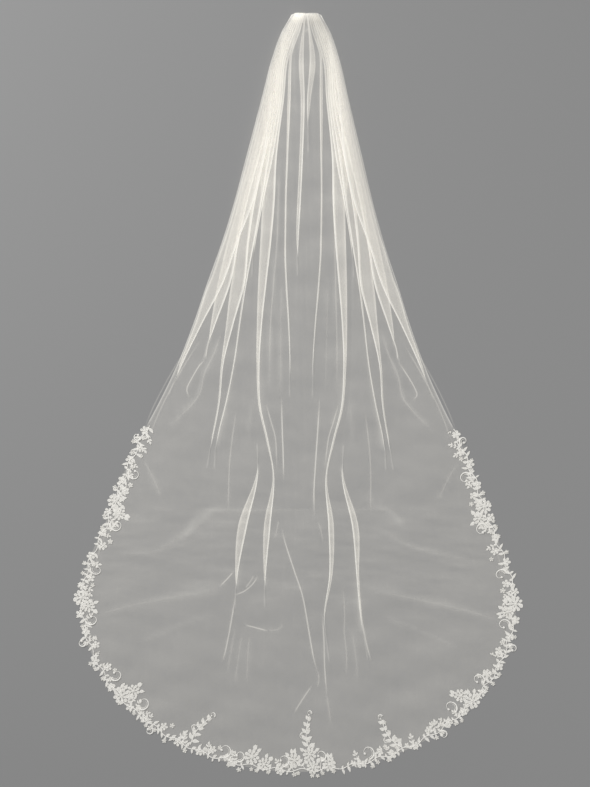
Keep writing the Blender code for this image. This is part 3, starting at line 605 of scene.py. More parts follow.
def net_sheet():
    """Both halves of the net joined at the middle line, with creases, ripples and the two attributes.

    Soft waves are everywhere but at the edge, fine ones in a belt below the middle, and narrow
    upright pleats near the heading.
    """
    straight = np.union1d(np.arange(0, HEM_CENTRE_ALONG, ROW_STEP), HEADING_ROWS)
    middle, edge = row_alongs(straight, np.linspace(0, 1, HEM_ROWS))
    halves = [half_sheet(side, middle, edge) for side in ("left", "right")]
    across, along, height, line, inside = (np.concatenate([sign * left[:, :0:-1], right], axis=1)
                                           for left, right, sign in zip(*halves, (-1, 1, 1, 1, 1)))
    rise, dense = crease_fields(across, along)
    calm = np.clip(inside / CALM_EDGE, 0, 1) ** 2
    gathered = np.exp(-along / PLEAT_FADE)
    belt = bell(along, BELT_ALONG, BELT_WIDTH)
    soft = ripples(across, along, SOFT_SEED, SOFT_WAVES)
    fine = ripples(across, along, BELT_SEED, BELT_WAVES)
    pleats = ripples(across, along, PLEAT_SEED, PLEAT_WAVES)
    rise += (SOFT_HEIGHT * np.clip(soft + SOFT_RAISED, 0, None)
             + BELT_HEIGHT * belt * np.clip(fine, 0, None))
    height = height + calm * rise + PLEAT_HEIGHT * gathered * np.clip(pleats, 0, None)
    step = np.hypot(np.diff(across, axis=1), np.diff(height, axis=1))
    cloth_across = np.concatenate([np.zeros((len(step), 1)), np.cumsum(step, axis=1)], axis=1)
    cloth_across -= cloth_across[:, [cloth_across.shape[1] // 2]]
    # Painted light and shade on the ripples: the net is paler where a wave rises and darker where it falls.
    dense = line + calm * (dense + SOFT_PAINTED_SHADE * soft)
    dense += BELT_PAINTED_SHADE * belt * fine + PLEAT_PAINTED_SHADE * gathered * pleats
    dense += EDGE_DENSE * bell(inside, 0, EDGE_LINE) * (along < LACE_START_ALONG)
    points = np.stack([MIDDLE_X + across, HEADING_Y - along, NET_LIFT + height], axis=2)
    return points, dense, np.stack([cloth_across, along], axis=2)


net_points, net_dense_and_painted_light, net_cloth = net_sheet()
print("the net has", net_points.shape[0], "rows of", net_points.shape[1], "points")

# %% [markdown]
# ## From points to pieces
# Every surface here is a grid of points. The helpers join neighbouring points into four-cornered
# faces, turn each face so that its front looks up, and put the piece under the root body.

# %% Making a mesh from grids
def grid_faces(rows, columns, first=0):
    """The four corners of every patch in a grid of points that is stored row by row."""
    corner = first + (np.arange(rows - 1)[:, None] * columns + np.arange(columns - 1)[None]).ravel()
    return np.stack([corner, corner + columns, corner + columns + 1, corner + 1], axis=1)


def facing_up(points, faces):
    """The same faces, with the order of the corners reversed where the front would look down."""
    a, b, c, d = (points[faces[:, i]] for i in range(4))
    upward = np.cross(c - a, d - b)[:, 2] >= 0
    return np.where(upward[:, None], faces, faces[:, ::-1])


def mesh_piece(name, points, faces, finish, attributes=()):
    """A smooth-shaded object of the given points and faces, which rides on the root body."""
    mesh = bpy.data.meshes.new(name)
    mesh.from_pydata(points.tolist(), [], faces.tolist())
    mesh.materials.append(finish)
    mesh.shade_smooth()
    for title, values in attributes:
        mesh.attributes.new(title, "FLOAT", "POINT").data.foreach_set("value", values.astype(np.float32))
    obj = bpy.data.objects.new(name, mesh)
    bpy.context.scene.collection.objects.link(obj)
    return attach(obj, "root")


def add_uv(mesh, values):
    """A UV map named cloth, which holds distances over the cloth in metres."""
    corners = np.empty(len(mesh.loops), dtype=np.int32)
    mesh.loops.foreach_get("vertex_index", corners)
    mesh.uv_layers.new(name="cloth").data.foreach_set("uv", values[corners].ravel().astype(np.float32))


# %% [markdown]
# ## Finishes
# One shared effect, the thread grain, gives both fabrics their fine uneven weave. The net's finish
# lets light through: each layer hides a quarter of what is under it, so the fold stack reads as in
# the photo. The net's density attribute makes crests and creases more solid, and it also mixes in a
# paler colour there, a painted highlight. The lace is almost solid thread, and its filled parts are a
# little darker than its cords.

# %% Node helpers
def new_material(name, inputs):
    """A material with the given inputs of its Principled shader, its node tree and the shader."""
    finish = bpy.data.materials.new(name)
    finish.use_nodes = True
    shader = finish.node_tree.nodes["Principled BSDF"]
    for key, value in inputs:
        shader.inputs[key].default_value = value
    return finish, finish.node_tree, shader


def node(tree, kind, settings=(), values=()):
    """Add a node, set its properties, and set or link its inputs."""
    made = tree.nodes.new(kind)
    for key, value in settings:
        setattr(made, key, value)
    for key, value in values:
        if isinstance(value, bpy.types.NodeSocket):
            tree.links.new(value, made.inputs[key])
        else:
            made.inputs[key].default_value = value
    return made


def calculate(tree, operation, *values, clamp=False):
    """The result of one arithmetic node on numbers or other nodes' outputs."""
    inputs = tuple(enumerate(values))
    return node(tree, "ShaderNodeMath", (("operation", operation), ("use_clamp", clamp)), inputs).outputs[0]


# %% The shared thread grain
grain_group = bpy.data.node_groups.new("Thread grain", "ShaderNodeTree")
for title, way, kind in (("Place", "INPUT", "Vector"), ("Threads per metre", "INPUT", "Float"),
                         ("Weave", "OUTPUT", "Float"), ("Unevenness", "OUTPUT", "Float")):
    grain_group.interface.new_socket(title, in_out=way, socket_type=f"NodeSocket{kind}")
grain_in = grain_group.nodes.new("NodeGroupInput").outputs
grain_out = grain_group.nodes.new("NodeGroupOutput").inputs
threads = [node(grain_group, "ShaderNodeTexWave", (("bands_direction", direction),),
                (("Vector", grain_in["Place"]), ("Scale", grain_in["Threads per metre"]),
                 ("Distortion", 1.5), ("Detail", 1.0), ("Detail Scale", 0.4))).outputs["Fac"]
           for direction in ("X", "Y")]
cloud = node(grain_group, "ShaderNodeTexNoise", (), (("Vector", grain_in["Place"]), ("Scale", 26.0),
                                                     ("Detail", 4.0), ("Roughness", 0.6)))
grain_group.links.new(calculate(grain_group, "MULTIPLY", *threads), grain_out["Weave"])
grain_group.links.new(cloud.outputs["Fac"], grain_out["Unevenness"])


def thread_grain(tree, place, threads_per_metre):
    """One use of the shared thread grain in a material."""
    return node(tree, "ShaderNodeGroup", (("node_tree", grain_group),),
                (("Place", place), ("Threads per metre", threads_per_metre)))


# %% Net, lace and comb finishes
NET_COLOUR = (0.79, 0.765, 0.71, 1.0)
# The paler net colour is a painted highlight, mixed in where the net is denser: fold lines, creases, ripple
# rises and the gathers.
NET_PAINTED_HIGHLIGHT_COLOUR = (0.92, 0.90, 0.845, 1.0)
LAYER_ALPHA = 0.25
MOST_SOLID = 0.95
LACE_COLOUR = (0.95, 0.93, 0.88, 1.0)
LACE_FILL_COLOUR = (0.87, 0.85, 0.795, 1.0)
LACE_FILL_ALPHA = 0.94
NET_THREADS, LACE_THREADS, COMB_THREADS = 260.0, 420.0, 30.0
CLOUD_SWING, WEAVE_SWING = 0.10, 0.06
PAINTED_HIGHLIGHT_GAIN = 1.8
LACE_WEAVE, LACE_CORD_GAIN = 0.25, 1.4
BUMP_STRENGTH, BUMP_DISTANCE = 0.5, 0.0006


def mixed_colour(tree, share, first, second):
    """A colour between two, by a share from another node."""
    mix = node(tree, "ShaderNodeMix", (("data_type", "RGBA"),), (("Factor", share),))
    mix.inputs[6].default_value = first
    mix.inputs[7].default_value = second
    return mix.outputs[2]


def attribute(tree, name):
    """The values of one of the mesh's attributes."""
    return node(tree, "ShaderNodeAttribute", (("attribute_name", name),)).outputs["Fac"]


def swing(tree, value, middle, amount):
    """How far a value is from its middle, times an amount."""
    return calculate(tree, "MULTIPLY", calculate(tree, "SUBTRACT", value, middle), amount)


def net_material():
    """The net: see-through, with fold lines that are more solid and painted paler as a highlight, and an
    uneven weave.
    """
    inputs = (("Roughness", 0.8), ("Sheen Weight", 0.15), ("Sheen Roughness", 0.5))
    finish, tree, shader = new_material("Ivory net", inputs)
    cloth_uv = node(tree, "ShaderNodeUVMap", (("uv_map", "cloth"),))
    grain = thread_grain(tree, cloth_uv.outputs["UV"], NET_THREADS)
    dense = attribute(tree, "dense")
    weave = calculate(tree, "ADD", swing(tree, grain.outputs["Unevenness"], 0.5, CLOUD_SWING),
                      swing(tree, grain.outputs["Weave"], 0.25, WEAVE_SWING))
    solid = calculate(tree, "ADD", calculate(tree, "ADD", LAYER_ALPHA, dense), weave)
    solid = calculate(tree, "MINIMUM", calculate(tree, "MAXIMUM", solid, 0.0), MOST_SOLID)
    tree.links.new(solid, shader.inputs["Alpha"])
    # Painted highlight: the denser the net, the more of the paler colour.
    painted_highlight_share = calculate(tree, "MULTIPLY", dense, PAINTED_HIGHLIGHT_GAIN, clamp=True)
    tree.links.new(mixed_colour(tree, painted_highlight_share, NET_COLOUR, NET_PAINTED_HIGHLIGHT_COLOUR), shader.inputs["Base Color"])
    return finish


def lace_material():
    """The lace: pale thread with a fine bump, a little darker and thinner between the cords."""
    finish, tree, shader = new_material("Ivory lace", (("Roughness", 0.62), ("Sheen Weight", 0.2)))
    grain = thread_grain(tree, node(tree, "ShaderNodeTexCoord").outputs["Object"], LACE_THREADS)
    weave = calculate(tree, "MULTIPLY", grain.outputs["Weave"], LACE_WEAVE)
    thread = calculate(tree, "ADD", attribute(tree, "cord"), weave, clamp=True)
    tree.links.new(mixed_colour(tree, thread, LACE_FILL_COLOUR, LACE_COLOUR), shader.inputs["Base Color"])
    rise = LACE_CORD_GAIN * (1 - LACE_FILL_ALPHA)
    alpha = calculate(tree, "MULTIPLY_ADD", thread, rise, LACE_FILL_ALPHA, clamp=True)
    tree.links.new(alpha, shader.inputs["Alpha"])
    relief = (("Height", grain.outputs["Weave"]), ("Strength", BUMP_STRENGTH), ("Distance", BUMP_DISTANCE))
    bump = node(tree, "ShaderNodeBump", (), relief)
    tree.links.new(bump.outputs["Normal"], shader.inputs["Normal"])
    return finish


def comb_material():
    """The comb: pale plastic with a cloudy gloss."""
    inputs = (("Base Color", (0.80, 0.78, 0.74, 1.0)), ("Coat Weight", 0.3))
    finish, tree, shader = new_material("Frosted clear comb", inputs)
    grain = thread_grain(tree, node(tree, "ShaderNodeTexCoord").outputs["Object"], COMB_THREADS)
    haze = calculate(tree, "MULTIPLY_ADD", grain.outputs["Unevenness"], 0.12, 0.28)
    tree.links.new(haze, shader.inputs["Roughness"])
    return finish


net_finish, lace_finish, comb_finish = net_material(), lace_material(), comb_material()
print(len(bpy.data.materials), "materials")

# %% [markdown]
# ### Sharp lines along the creases
# A press line is a sliver of net that stands on edge, thinner than the sheet's grid. Each is a narrow
# strip that lies on the net and fades out at both sides and both ends: it is more solid than the net
# and painted paler, a painted highlight along the crease. The strips belong to the net's own mesh.
# Their height comes from dropping a line onto the net from above.

# %% The strips
STRIP_OFFSETS = np.array([-1.0, -0.45, 0.0, 0.5, 1.4])
STRIP_STRENGTH = np.array([0.0, 0.5, 1.2, 0.4, 0.0])
STRIP_HALF_WIDTH = 5.5 * MM
STRIP_LIFT = 0.35 * MM
STRIP_STEPS = 9
STRIP_FADE = 5
FAINTEST = 0.02
UNSEEN = -0.5


def side_of(line):
    """The direction to the left of a line of points, at each point."""
    way = np.gradient(line, axis=0)
    way /= np.hypot(*way.T)[:, None]
    return np.stack([-way[:, 1], way[:, 0]], axis=1)


def crease_strips(surface):
    """Grids of points for the sharp lines, with how dense the net is along them, which also paints a
    highlight there.
    """
    strips = []
    for crease, route in CREASES:
        if crease.sharp == 0:
            continue
        line = smooth_route(route, STRIP_STEPS)
        flat = line[:, None] + side_of(line)[:, None] * (STRIP_OFFSETS * STRIP_HALF_WIDTH)[None, :, None]
        x, y = MIDDLE_X + flat[..., 0], HEADING_Y - flat[..., 1]
        hits = [surface.ray_cast((*place, 1.0), (0.0, 0.0, -1.0))[0] for place in zip(x.ravel(), y.ravel())]
        z = np.array([hit.z if hit else 0.0 for hit in hits]).reshape(x.shape) + STRIP_LIFT
        share = np.linspace(0, 1, len(line))
        fade = np.clip(STRIP_FADE * np.minimum(share, 1 - share), 0, 1)
        # The strip's strength is its painted highlight: how solid and pale it is across and along.
        strength = crease.sharp * fade[:, None] * STRIP_STRENGTH[None]
        dense = np.where(strength > FAINTEST, strength - LAYER_ALPHA, UNSEEN)
        strips.append((np.stack([x, y, z], axis=2), dense, flat))
    return strips


# %% The net as a piece
flat_points = net_points.reshape(-1, 3)
faces = facing_up(flat_points, grid_faces(*net_points.shape[:2]))
surface = BVHTree.FromPolygons(flat_points.tolist(), faces.tolist())
parts = [(net_points, net_dense_and_painted_light, net_cloth)] + crease_strips(surface)
all_points = np.concatenate([grid.reshape(-1, 3) for grid, _, _ in parts])
all_faces, first = [], 0
for grid, _, _ in parts:
    all_faces.append(facing_up(all_points, grid_faces(*grid.shape[:2], first)))
    first += grid.shape[0] * grid.shape[1]
net = mesh_piece("net_panel", all_points, np.concatenate(all_faces), net_finish,
                 [("dense", np.concatenate([dense.ravel() for _, dense, _ in parts]))])
add_uv(net.data, np.concatenate([cloth.reshape(-1, 2) for _, _, cloth in parts]))
net.visible_shadow = False
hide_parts("tulle_panel")
print("net triangles:", 2 * sum(len(part) for part in all_faces), " highest point:",
      round(flat_points[:, 2].max() * 1000, 1), "mm")

# %% [markdown]
# ## The lace edging
# The lace is drawn flat, in millimetres along the hem (left of its middle is below nothing) and
# inward from the lace's outer line, and is then carried to its place on the hem. It is ordinary
# floral lace: roses, five-petalled flowers, scrolls, leaves and sprays on a wavy cord. The motif
# table gives places and sizes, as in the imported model, and each drawing adds petals and cords to it.

# %% Motif tables
Motif = namedtuple("Motif", "kind along inward size turn")
SIDE_MOTIFS = (
    ("flower", -1940, 16, 17, 0), ("scroll", -1905, 2, 15, 200), ("flower", -1868, 30, 16, 30),
    ("flower", -1810, 14, 17, 10), ("scroll", -1765, 52, 23, 60), ("flower", -1722, 18, 17, 40),
    ("flower", -1686, 46, 16, 0), ("rose", -1632, 20, 29, 0), ("rose", -1592, 52, 25, 20),
    ("flower", -1584, 8, 16, 15), ("scroll", -1548, 58, 24, 120), ("flower", -1500, 20, 16, 0),
    ("flower", -1452, 44, 16, 30), ("flower", -1395, 16, 17, 10), ("scroll", -1350, 54, 23, 70),
    ("flower", -1308, 42, 17, 50), ("flower", -1270, 12, 16, 0), ("rose", -1222, 16, 31, 10),
    ("rose", -1186, 46, 25, 40), ("flower", -1158, 10, 17, 20), ("scroll", -1130, 52, 24, 110),
    ("flower", -1086, 20, 17, 0), ("scroll", -1046, -6, 15, 210), ("flower", -1020, 44, 16, 30),
    ("flower", -960, 16, 17, 0), ("flower", -912, 48, 16, 30), ("scroll", -868, 58, 24, 60),
    ("flower", -836, 16, 17, 10), ("rose", -784, 24, 31, 0), ("rose", -766, 72, 27, 30),
    ("flower", -728, 18, 17, 40), ("scroll", -700, 64, 26, 120), ("flower", -655, 22, 17, 0),
    ("scroll", -610, -4, 15, 200), ("flower", -570, 42, 16, 20), ("flower", -490, 16, 17, 10),
    ("spray", -440, 30, 138, 75), ("flower", -396, 18, 17, 30), ("flower", -348, 44, 16, 0),
    ("scroll", -300, 54, 27, 70), ("flower", -262, 18, 17, 10), ("rose", -184, 56, 31, 0),
    ("rose", -130, 34, 26, 30), ("scroll", -236, 48, 22, 110),
)
CENTRE_MOTIFS = (
    ("flower", -62, 14, 17, 0), ("scroll", -52, 56, 24, 60), ("rose", -6, 58, 29, 0),
    ("rose", 58, 82, 28, 20), ("rose", 70, 30, 26, 40), ("spray", 60, 96, 140, 88),
    ("rose", 136, 36, 27, 10), ("scroll", 104, 74, 22, 110),
)
LACE_SEAMS = (-1966, -1420, -990, -530, -88, 176, 530, 990, 1420, 1966)
MIRROR_FROM = 240
MOTIFS = [Motif(*row) for row in SIDE_MOTIFS + CENTRE_MOTIFS]
MOTIFS += [motif._replace(along=-motif.along, turn=180 - motif.turn)
           for motif in MOTIFS if motif.along < -MIRROR_FROM]
LACE_PAST_EDGE = 14 * MM
HEM_STEP = 8 * MM
HEM_WAY_STEP = 6 * MM
LACE_BASE = 1.3
SEAM_GAP = 0.2
CORD_INWARD = 20.0
CORD_SWAY = 7.0
CORD_WAVE = 104.0
print(len(MOTIFS), "motifs")


# %% Carrying lace to the hem
def hem_path():
    """Points on the net's edge round the hem, and the distance along it from the hem's middle."""
    side = np.arange(LACE_START_ALONG, HEM_CENTRE_ALONG, HEM_STEP)
    turn = np.linspace(0, math.pi / 2, 120)
    x = np.concatenate([-edge_half_width(side), -HEM_HALF_WIDTH * np.cos(turn)])
    along = np.concatenate([side, HEM_CENTRE_ALONG + HEM_DROP * np.sin(turn)])
    left = np.stack([x, -along], axis=1)
    path = np.concatenate([left, (left * (-1, 1))[-2::-1]])
    length = np.concatenate([[0], np.cumsum(np.hypot(*np.diff(path, axis=0).T))])
    return path, length - length[-1] / 2


HEM_PATH, HEM_LENGTH = hem_path()


def on_hem(points):
    """Carry points (along, inward, height in millimetres) to the hem, in metres."""
    along, inward, height = np.asarray(points).T * MM
    inward = inward - LACE_PAST_EDGE
    x, y = (np.interp(along, HEM_LENGTH, HEM_PATH[:, i]) for i in (0, 1))
    dx, dy = (np.interp(along + HEM_WAY_STEP, HEM_LENGTH, HEM_PATH[:, i])
              - np.interp(along - HEM_WAY_STEP, HEM_LENGTH, HEM_PATH[:, i]) for i in (0, 1))
    size = np.hypot(dx, dy)
    return np.stack([MIDDLE_X + x - inward * dy / size, HEADING_Y + y + inward * dx / size, height], axis=1)


def cord_inward(along):
    """How far inward the main cord runs: a sine wave along the hem."""
    return CORD_INWARD + CORD_SWAY * np.sin(2 * math.pi * np.asarray(along) / CORD_WAVE)


def on_cord(along):
    """A place on the main cord."""
    return np.array([along, float(cord_inward(along))])


# %% [markdown]
# ### The drawings
# Each drawing returns grids of points with a height, and a share of cord at each point. A petal is a
# round grid with a raised rim, and flowers and roses are rings of petals round a heart; a cord is half
# a tube; a leaf is a strip with a raised rib and rim; a bead is half a ball. Sizes are in millimetres.

# %% Petals, hearts, leaves and beads
HEART_PETALS = 5


def way_of(degrees):
    """A step of length one in a direction."""
    return np.array([math.cos(math.radians(degrees)), math.sin(math.radians(degrees))])


def drawn(foot, x, y, height, cord, turn=0.0):
    """A grid with its share of cord, drawn round the origin, then turned and carried to its foot."""
    x, y, height, cord = np.broadcast_arrays(x, y, LACE_BASE + height, cord)
    cos, sin = way_of(turn)
    return [(np.stack([foot[0] + x * cos - y * sin, foot[1] + x * sin + y * cos, height], axis=2), cord)]


def petal(centre, radius, turn):
    """One rounded petal, a little wider than long, with a thick rim cord and a hollow middle."""
    angle = np.linspace(0, 2 * math.pi, 15)[None]
    share = np.linspace(0, 1, 5)[:, None]
    rim = bell(share, 0.8, 0.2)
    height = np.where(share == 1, 0, 0.5 + 1.2 * rim)
    x, y = radius * share * np.cos(angle), 0.92 * radius * share * np.sin(angle)
    return drawn(centre, x, y, height, rim, turn)


def heart(centre, radius, notch, turn, lift, steps):
    """A flower's middle: a round grid whose rim bulges five times, with a rim cord and hollow petals.

    The rim's reach is the notch plus the rest times a power of the cosine over one petal.
    """
    angle = np.linspace(0, 2 * math.pi, HEART_PETALS * steps + 1)[None]
    swell = np.abs(np.cos(HEART_PETALS * angle / 2)) ** 0.7
    share = np.linspace(0, 1, steps)[:, None] ** 0.8
    reach = radius * (notch + (1 - notch) * swell) * share
    rim = bell(share, 0.90, 0.10)
    height = lift + 0.35 + 1.3 * rim - 0.5 * (1 - swell) * share + 0.6 * bell(share, 0.35, 0.25)
    height = np.where(share == 1, 0.5 * lift, height)
    cord = np.clip(rim + 0.7 * bell(swell, 0, 0.3) * (share > 0.3), 0, 1)
    return drawn(centre, reach * np.cos(angle), reach * np.sin(angle), height, cord, turn)


def leaf(foot, length, width, turn):
    """A pointed leaf with a raised rib and rim; its half width follows a skewed sine."""
    share = np.linspace(0, 1, 9)[:, None]
    across = np.linspace(-1, 1, 9)[None]
    half = 0.5 * width * np.sin(math.pi * share**0.75) + 0.15
    y = half * across + 0.06 * length * np.sin(math.pi * share)
    rib, out = bell(across, 0, 0.2), np.abs(across)
    height = np.where(out == 1, 0, 0.3 + 0.8 * rib + 0.7 * bell(out, 0.82, 0.14))
    return drawn(foot, length * share, y, height, np.clip(rib + bell(out, 0.85, 0.18), 0, 1), turn)


def bead(centre, radius, lift=0.0):
    """Half a ball."""
    tilt = np.linspace(0, math.pi / 2, 5)[:, None]
    angle = np.linspace(0, 2 * math.pi, 10)[None]
    reach = radius * np.sin(tilt)
    height = lift + 0.8 * radius * np.cos(tilt)
    return drawn(centre, reach * np.cos(angle), reach * np.sin(angle), height, 1.0)


# %% Cords, scrolls, flowers and sprays
CORD_TWIST = 0.12
TWIST_LENGTH = 5.0
STEM_RADIUS = 1.9


def cord_along(route, radius, taper=False):
    """Half a tube that follows a route, with the faint swelling of a twisted cord."""
    route = np.array(route, float)
    distance = np.concatenate([[0], np.cumsum(np.hypot(*np.diff(route, axis=0).T))])
    wide = radius * (1 + CORD_TWIST * np.sin(2 * math.pi * distance / TWIST_LENGTH))
    if taper:
        wide = wide * np.clip(1.15 - distance / distance[-1], 0.3, 1)
    bend = np.linspace(-math.pi / 2, math.pi / 2, 7)
    flat = route[:, None] + side_of(route)[:, None] * (wide[:, None] * np.sin(bend)[None])[..., None]
    height = LACE_BASE + 0.9 * wide[:, None] * np.cos(bend)[None]
    return [(np.concatenate([flat, height[..., None]], axis=2), np.ones_like(height))]


def scroll(centre, radius, start, sweep, width=3.9):
    """A thick cord that winds inwards from the given angle to a knob, with a thin cord inside it."""
    share = np.linspace(0, 1, 30)
    angle = np.radians(start + 0.95 * sweep * share)
    spiral = (1 - 0.55 * share**2.4) * np.array([np.cos(angle), np.sin(angle)])
    outer = np.array(centre) + radius * spiral.T
    inner = np.array(centre) + (radius - 1.9 * width) * spiral.T[:19]
    return (cord_along(outer, width, taper=True) + bead(outer[-1], 1.35 * width)
            + cord_along(inner, 0.38 * width, taper=True))


def ring(centre, radius, count, turn):
    """Places round a centre, each with its direction in degrees."""
    turns = [turn + 360 * i / count for i in range(count)]
    return [(np.array(centre) + radius * way_of(degrees), degrees) for degrees in turns]


def flower(centre, radius, turn):
    """Five separate petals round a beaded heart."""
    shapes = heart(centre, 0.34 * radius, 0.8, turn + 36, 0.5, 4) + bead(centre, 0.18 * radius, 1.0)
    for place, degrees in ring(centre, 0.66 * radius, 5, turn):
        shapes += petal(place, 0.38 * radius, degrees)
    return shapes


def rose(centre, radius, turn):
    """Two rings of separate petals round a small full heart, with beads between the rings."""
    shapes = heart(centre, 0.30 * radius, 0.74, turn + 50, 1.6, 6) + bead(centre, 3.0, 2.2)
    for count, reach, size, offset in ((9, 0.80, 0.255, 0), (6, 0.44, 0.20, 30)):
        for place, degrees in ring(centre, reach * radius, count, turn + offset):
            shapes += petal(place, size * radius, degrees)
    for place, _ in ring(centre, 0.62 * radius, 9, turn + 20):
        shapes += bead(place, 1.9, 0.8)
    return shapes


def sprig(foot, reach, turn):
    """A small stem with two pairs of leaves, a leaf at its tip and two beads."""
    way = way_of(turn)
    stem = np.array(foot) + np.linspace(0, reach, 6)[:, None] * way
    shapes = cord_along(stem, 1.5, taper=True)
    for i in (2, 4):
        for side in (-1, 1):
            shapes += leaf(stem[i], 0.42 * reach, 0.2 * reach, turn + side * 50)
    shapes += leaf(stem[-1], 0.4 * reach, 0.24 * reach, turn)
    return shapes + bead(stem[3] + 3.5 * way[::-1], 1.6) + bead(stem[-1], 2.0, 0.6)


def spray(foot, reach, turn):
    """A bowed stem that rises from the border, with leaves, three flowers and two curls."""
    share = np.linspace(0, 1, 22)
    way, side_way = way_of(turn), way_of(turn + 90)
    bow = 0.12 * reach * np.sin(math.pi * share)
    stem = np.array(foot) + np.outer(reach * share, way) + np.outer(bow, side_way)
    shapes = cord_along(stem, 2.2)
    for i in range(2, 20, 4):
        for side in (-1, 1):
            shapes += leaf(stem[i + (side > 0)], 36 - i * 0.8, 15, turn + side * (60 - i))
    for i in (5, 12, 18):
        angle = math.radians(turn) + i
        shapes += flower(stem[i] + 10 * np.array([math.sin(angle), math.cos(angle)]), 13 - 0.2 * i, 20 * i)
    shapes += scroll(stem[9] + 17 * side_way, 12, turn, 260, 2.6)
    return shapes + scroll(stem[-1] + 9 * way, 12, turn - 90, 250, 2.8)


# %% [markdown]
# ### Putting a stretch together
# Each stretch has the wavy main cord, the motifs of the table with the stems that tie them to the
# cord, and leaves, sprigs and small flowers where there is room. What is random has a span for each
# size: lengths and widths in millimetres, turns in degrees.

# %% One stretch of lace
FLOWER_LEAN = 9.0
SCROLL_LEAN = 6.0
FILLING_SEED = 5000
FILLING_STEP = 23.0
MAIN_CORD_STEP = 3.0
MAIN_CORD_RADIUS = 2.0
UPWARD_CHANCE, SPRIG_CHANCE, FLOWER_CHANCE = 0.62, 0.4, 0.35
LONG_LEAF = ((22, 30), (9, 12), (40, 80))
SHORT_LEAF = ((14, 20), (7, 10), (60, 120))
SPRIG = ((30, 42), (45, 135))
OUTER_FLOWER = ((-6, 6), (-20, -12), (8, 10), (0, 72))
SIDE_FLOWER = ((24, 30), (4, 24), (9, 12), (0, 72))
ROSE_LEAF_SIZE, ROSE_LEAF_TURNS = (24, 14), (20, 160)


def motif_shapes(motif):
    """The grids of one motif, with the stem that ties it to the main cord."""
    place = np.array([motif.along, motif.inward], float)
    if motif.kind == "rose":
        return rose(place, motif.size, motif.turn)
    if motif.kind == "flower":
        stem = np.linspace(on_cord(motif.along - FLOWER_LEAN), place, 4)
        return flower(place, motif.size, motif.turn) + cord_along(stem, STEM_RADIUS)
    if motif.kind == "scroll":
        toward = 1 if motif.inward > cord_inward(motif.along) else -1
        stem = np.linspace(on_cord(motif.along - SCROLL_LEAN), place - (0, toward * motif.size), 4)
        return scroll(place, motif.size, -90 * toward, 285 * toward) + cord_along(stem, STEM_RADIUS)
    return spray(place, motif.size, motif.turn)


def fillings(start, end, inside):
    """The cord, leaves, sprigs and small flowers of one stretch."""
    rng = np.random.default_rng(FILLING_SEED + start)

    def draw(spans):
        """One random value from each span, in order."""
        return [rng.uniform(*span) for span in spans]

    along = np.arange(start, end + 0.1, MAIN_CORD_STEP)
    along[-1] = end
    shapes = cord_along(np.stack([along, cord_inward(along)], axis=1), MAIN_CORD_RADIUS)
    roses = [motif for motif in inside if motif.kind == "rose"]
    for place in np.arange(start + 10, end - 10, FILLING_STEP):
        foot = on_cord(place)
        if all(abs(place - motif.along) >= 0.8 * motif.size for motif in roses):
            side = 1 if rng.random() < UPWARD_CHANCE else -1
            for spans, way in ((LONG_LEAF, side), (SHORT_LEAF, -side)):
                length, width, turn = draw(spans)
                shapes += leaf(foot, length, width, way * turn)
        if rng.random() < SPRIG_CHANCE:
            shapes += sprig(foot, *draw(SPRIG))
        if rng.random() < FLOWER_CHANCE:
            along_by, inward_by, size, turn = draw(OUTER_FLOWER)
            shapes += flower(foot + (along_by, inward_by), size, turn)
    for motif in inside:
        if motif.kind == "flower":
            side = rng.choice((-1, 1))
            along_by, inward_by, size, turn = draw(SIDE_FLOWER)
            shapes += flower((motif.along + side * along_by, motif.inward + inward_by), size, turn)
        elif motif.kind == "rose":
            for turn in rng.uniform(*ROSE_LEAF_TURNS, 3):
                foot = np.array([motif.along, motif.inward]) + 0.95 * motif.size * way_of(turn)
                shapes += leaf(foot, *ROSE_LEAF_SIZE, turn)
    return shapes


def lace_stretch(number, start, end):
    """Build one stretch as a piece, kept a little away from its neighbours at both ends."""
    inside = [motif for motif in MOTIFS if start < motif.along < end]
    shapes = fillings(start, end, inside)
    for motif in inside:
        shapes += motif_shapes(motif)
    points, faces, cords, first = [], [], [], 0
    for grid, cord in shapes:
        rows, columns = grid.shape[:2]
        flat = grid.reshape(-1, 3).copy()
        flat[:, 0] = np.clip(flat[:, 0], start + SEAM_GAP, end - SEAM_GAP)
        points.append(on_hem(flat))
        faces.append(grid_faces(rows, columns, first))
        cords.append(cord.ravel())
        first += rows * columns
    points, faces, cords = (np.concatenate(parts) for parts in (points, faces, cords))
    faces = facing_up(points, faces)
    piece = mesh_piece(f"lace_stretch_{number}", points, faces, lace_finish, [("cord", cords)])
    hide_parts(f"lace_{number}")
    return piece, 2 * len(faces)


lace_pieces, triangles = zip(*(lace_stretch(i, start, end) for i, (start, end)
                               in enumerate(zip(LACE_SEAMS[:-1], LACE_SEAMS[1:]), start=1)))
print("lace triangles by stretch:", triangles, " in all:", sum(triangles))

# %% [markdown]
# ## The comb
# The comb hardly shows through the gathers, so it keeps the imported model's form and only gets a finish.

# %% Comb finish
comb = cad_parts["comb"]
comb.data.materials.clear()
comb.data.materials.append(comb_finish)

# %% [markdown]
# ## Floor, light and camera
# The veil lies on a plain floor, grey enough to show the net, and the camera looks straight down on
# it, as in the photo. Most of the light comes from the top left, so that the folds are shaded.

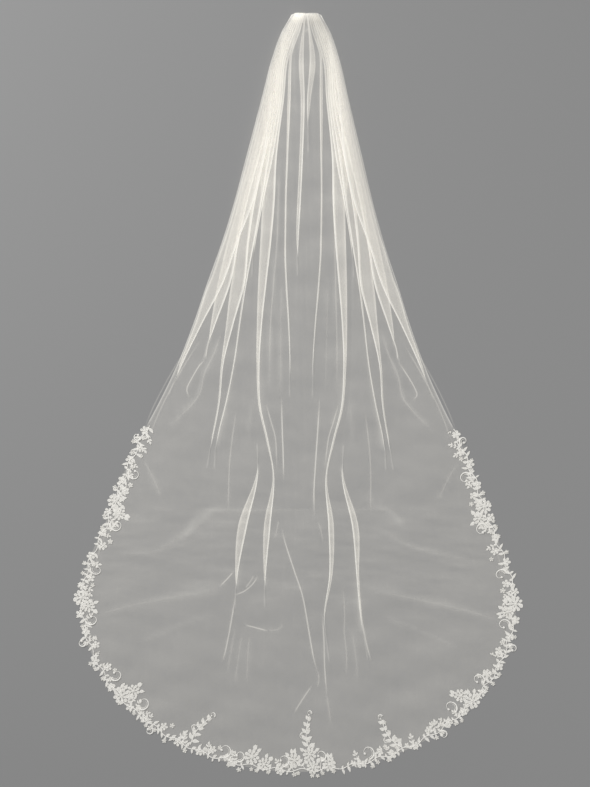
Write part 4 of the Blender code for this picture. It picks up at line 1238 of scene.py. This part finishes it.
# %% Floor
FLOOR_COLOUR = (0.29, 0.29, 0.29, 1.0)
FLOOR_SIZE = 14.0
floor_inputs = (("Base Color", FLOOR_COLOUR), ("Roughness", 0.95), ("Specular IOR Level", 0.1))
floor_finish, _, _ = new_material("Pale floor", floor_inputs)
bpy.ops.mesh.primitive_plane_add(size=FLOOR_SIZE, location=(0.0, 0.0, 0.0))
floor = bpy.context.object
floor.name = "floor"
floor.data.materials.append(floor_finish)

# %% Lights
def area_light(name, place, target, size, watts):
    """A square lamp that shines from its place towards a target."""
    lamp = bpy.data.lights.new(name, "AREA")
    lamp.size = size
    lamp.energy = watts
    obj = bpy.data.objects.new(name, lamp)
    obj.location = place
    way = np.array(target) - np.array(place)
    yaw = math.atan2(way[1], way[0])
    pitch = math.atan2(math.hypot(way[0], way[1]), -way[2])
    obj.rotation_euler = (pitch, 0.0, yaw - math.pi / 2)
    bpy.context.scene.collection.objects.link(obj)


SKY_STRENGTH = 0.32
DEEPEST_STACK = 64
# Each lamp's name, place, target, size in metres and watts
for lamp in (("key", (-5.0, 4.2, 5.2), (0.0, 0.0, 0.0), 3.5, 490.0),
             ("fill", (5.0, -2.0, 5.0), (0.0, -0.2, 0.0), 4.0, 145.0)):
    area_light(*lamp)
world = bpy.data.worlds.new("studio")
world.use_nodes = True
sky = world.node_tree.nodes["Background"].inputs
sky["Color"].default_value = (1.0, 1.0, 1.0, 1.0)
sky["Strength"].default_value = SKY_STRENGTH
bpy.context.scene.world = world
bpy.context.scene.cycles.transparent_max_bounces = DEEPEST_STACK
bpy.context.scene.view_settings.view_transform = "Standard"

# %% Camera
CAMERA_CENTRE = (-0.024, 0.006)
CAMERA_HEIGHT = 8.0
SENSOR_HEIGHT = 36.0
PHOTO_HEIGHT_ON_FLOOR = 3.138
CAMERA_ROLL = math.radians(0.8)
camera_data = bpy.data.cameras.new("camera")
camera_data.sensor_fit = "VERTICAL"
camera_data.sensor_height = SENSOR_HEIGHT
camera_data.lens = SENSOR_HEIGHT * CAMERA_HEIGHT / PHOTO_HEIGHT_ON_FLOOR
camera = bpy.data.objects.new("camera", camera_data)
camera.location = (*CAMERA_CENTRE, CAMERA_HEIGHT)
camera.rotation_euler = (0.0, 0.0, CAMERA_ROLL)
bpy.context.scene.collection.objects.link(camera)
bpy.context.scene.camera = camera
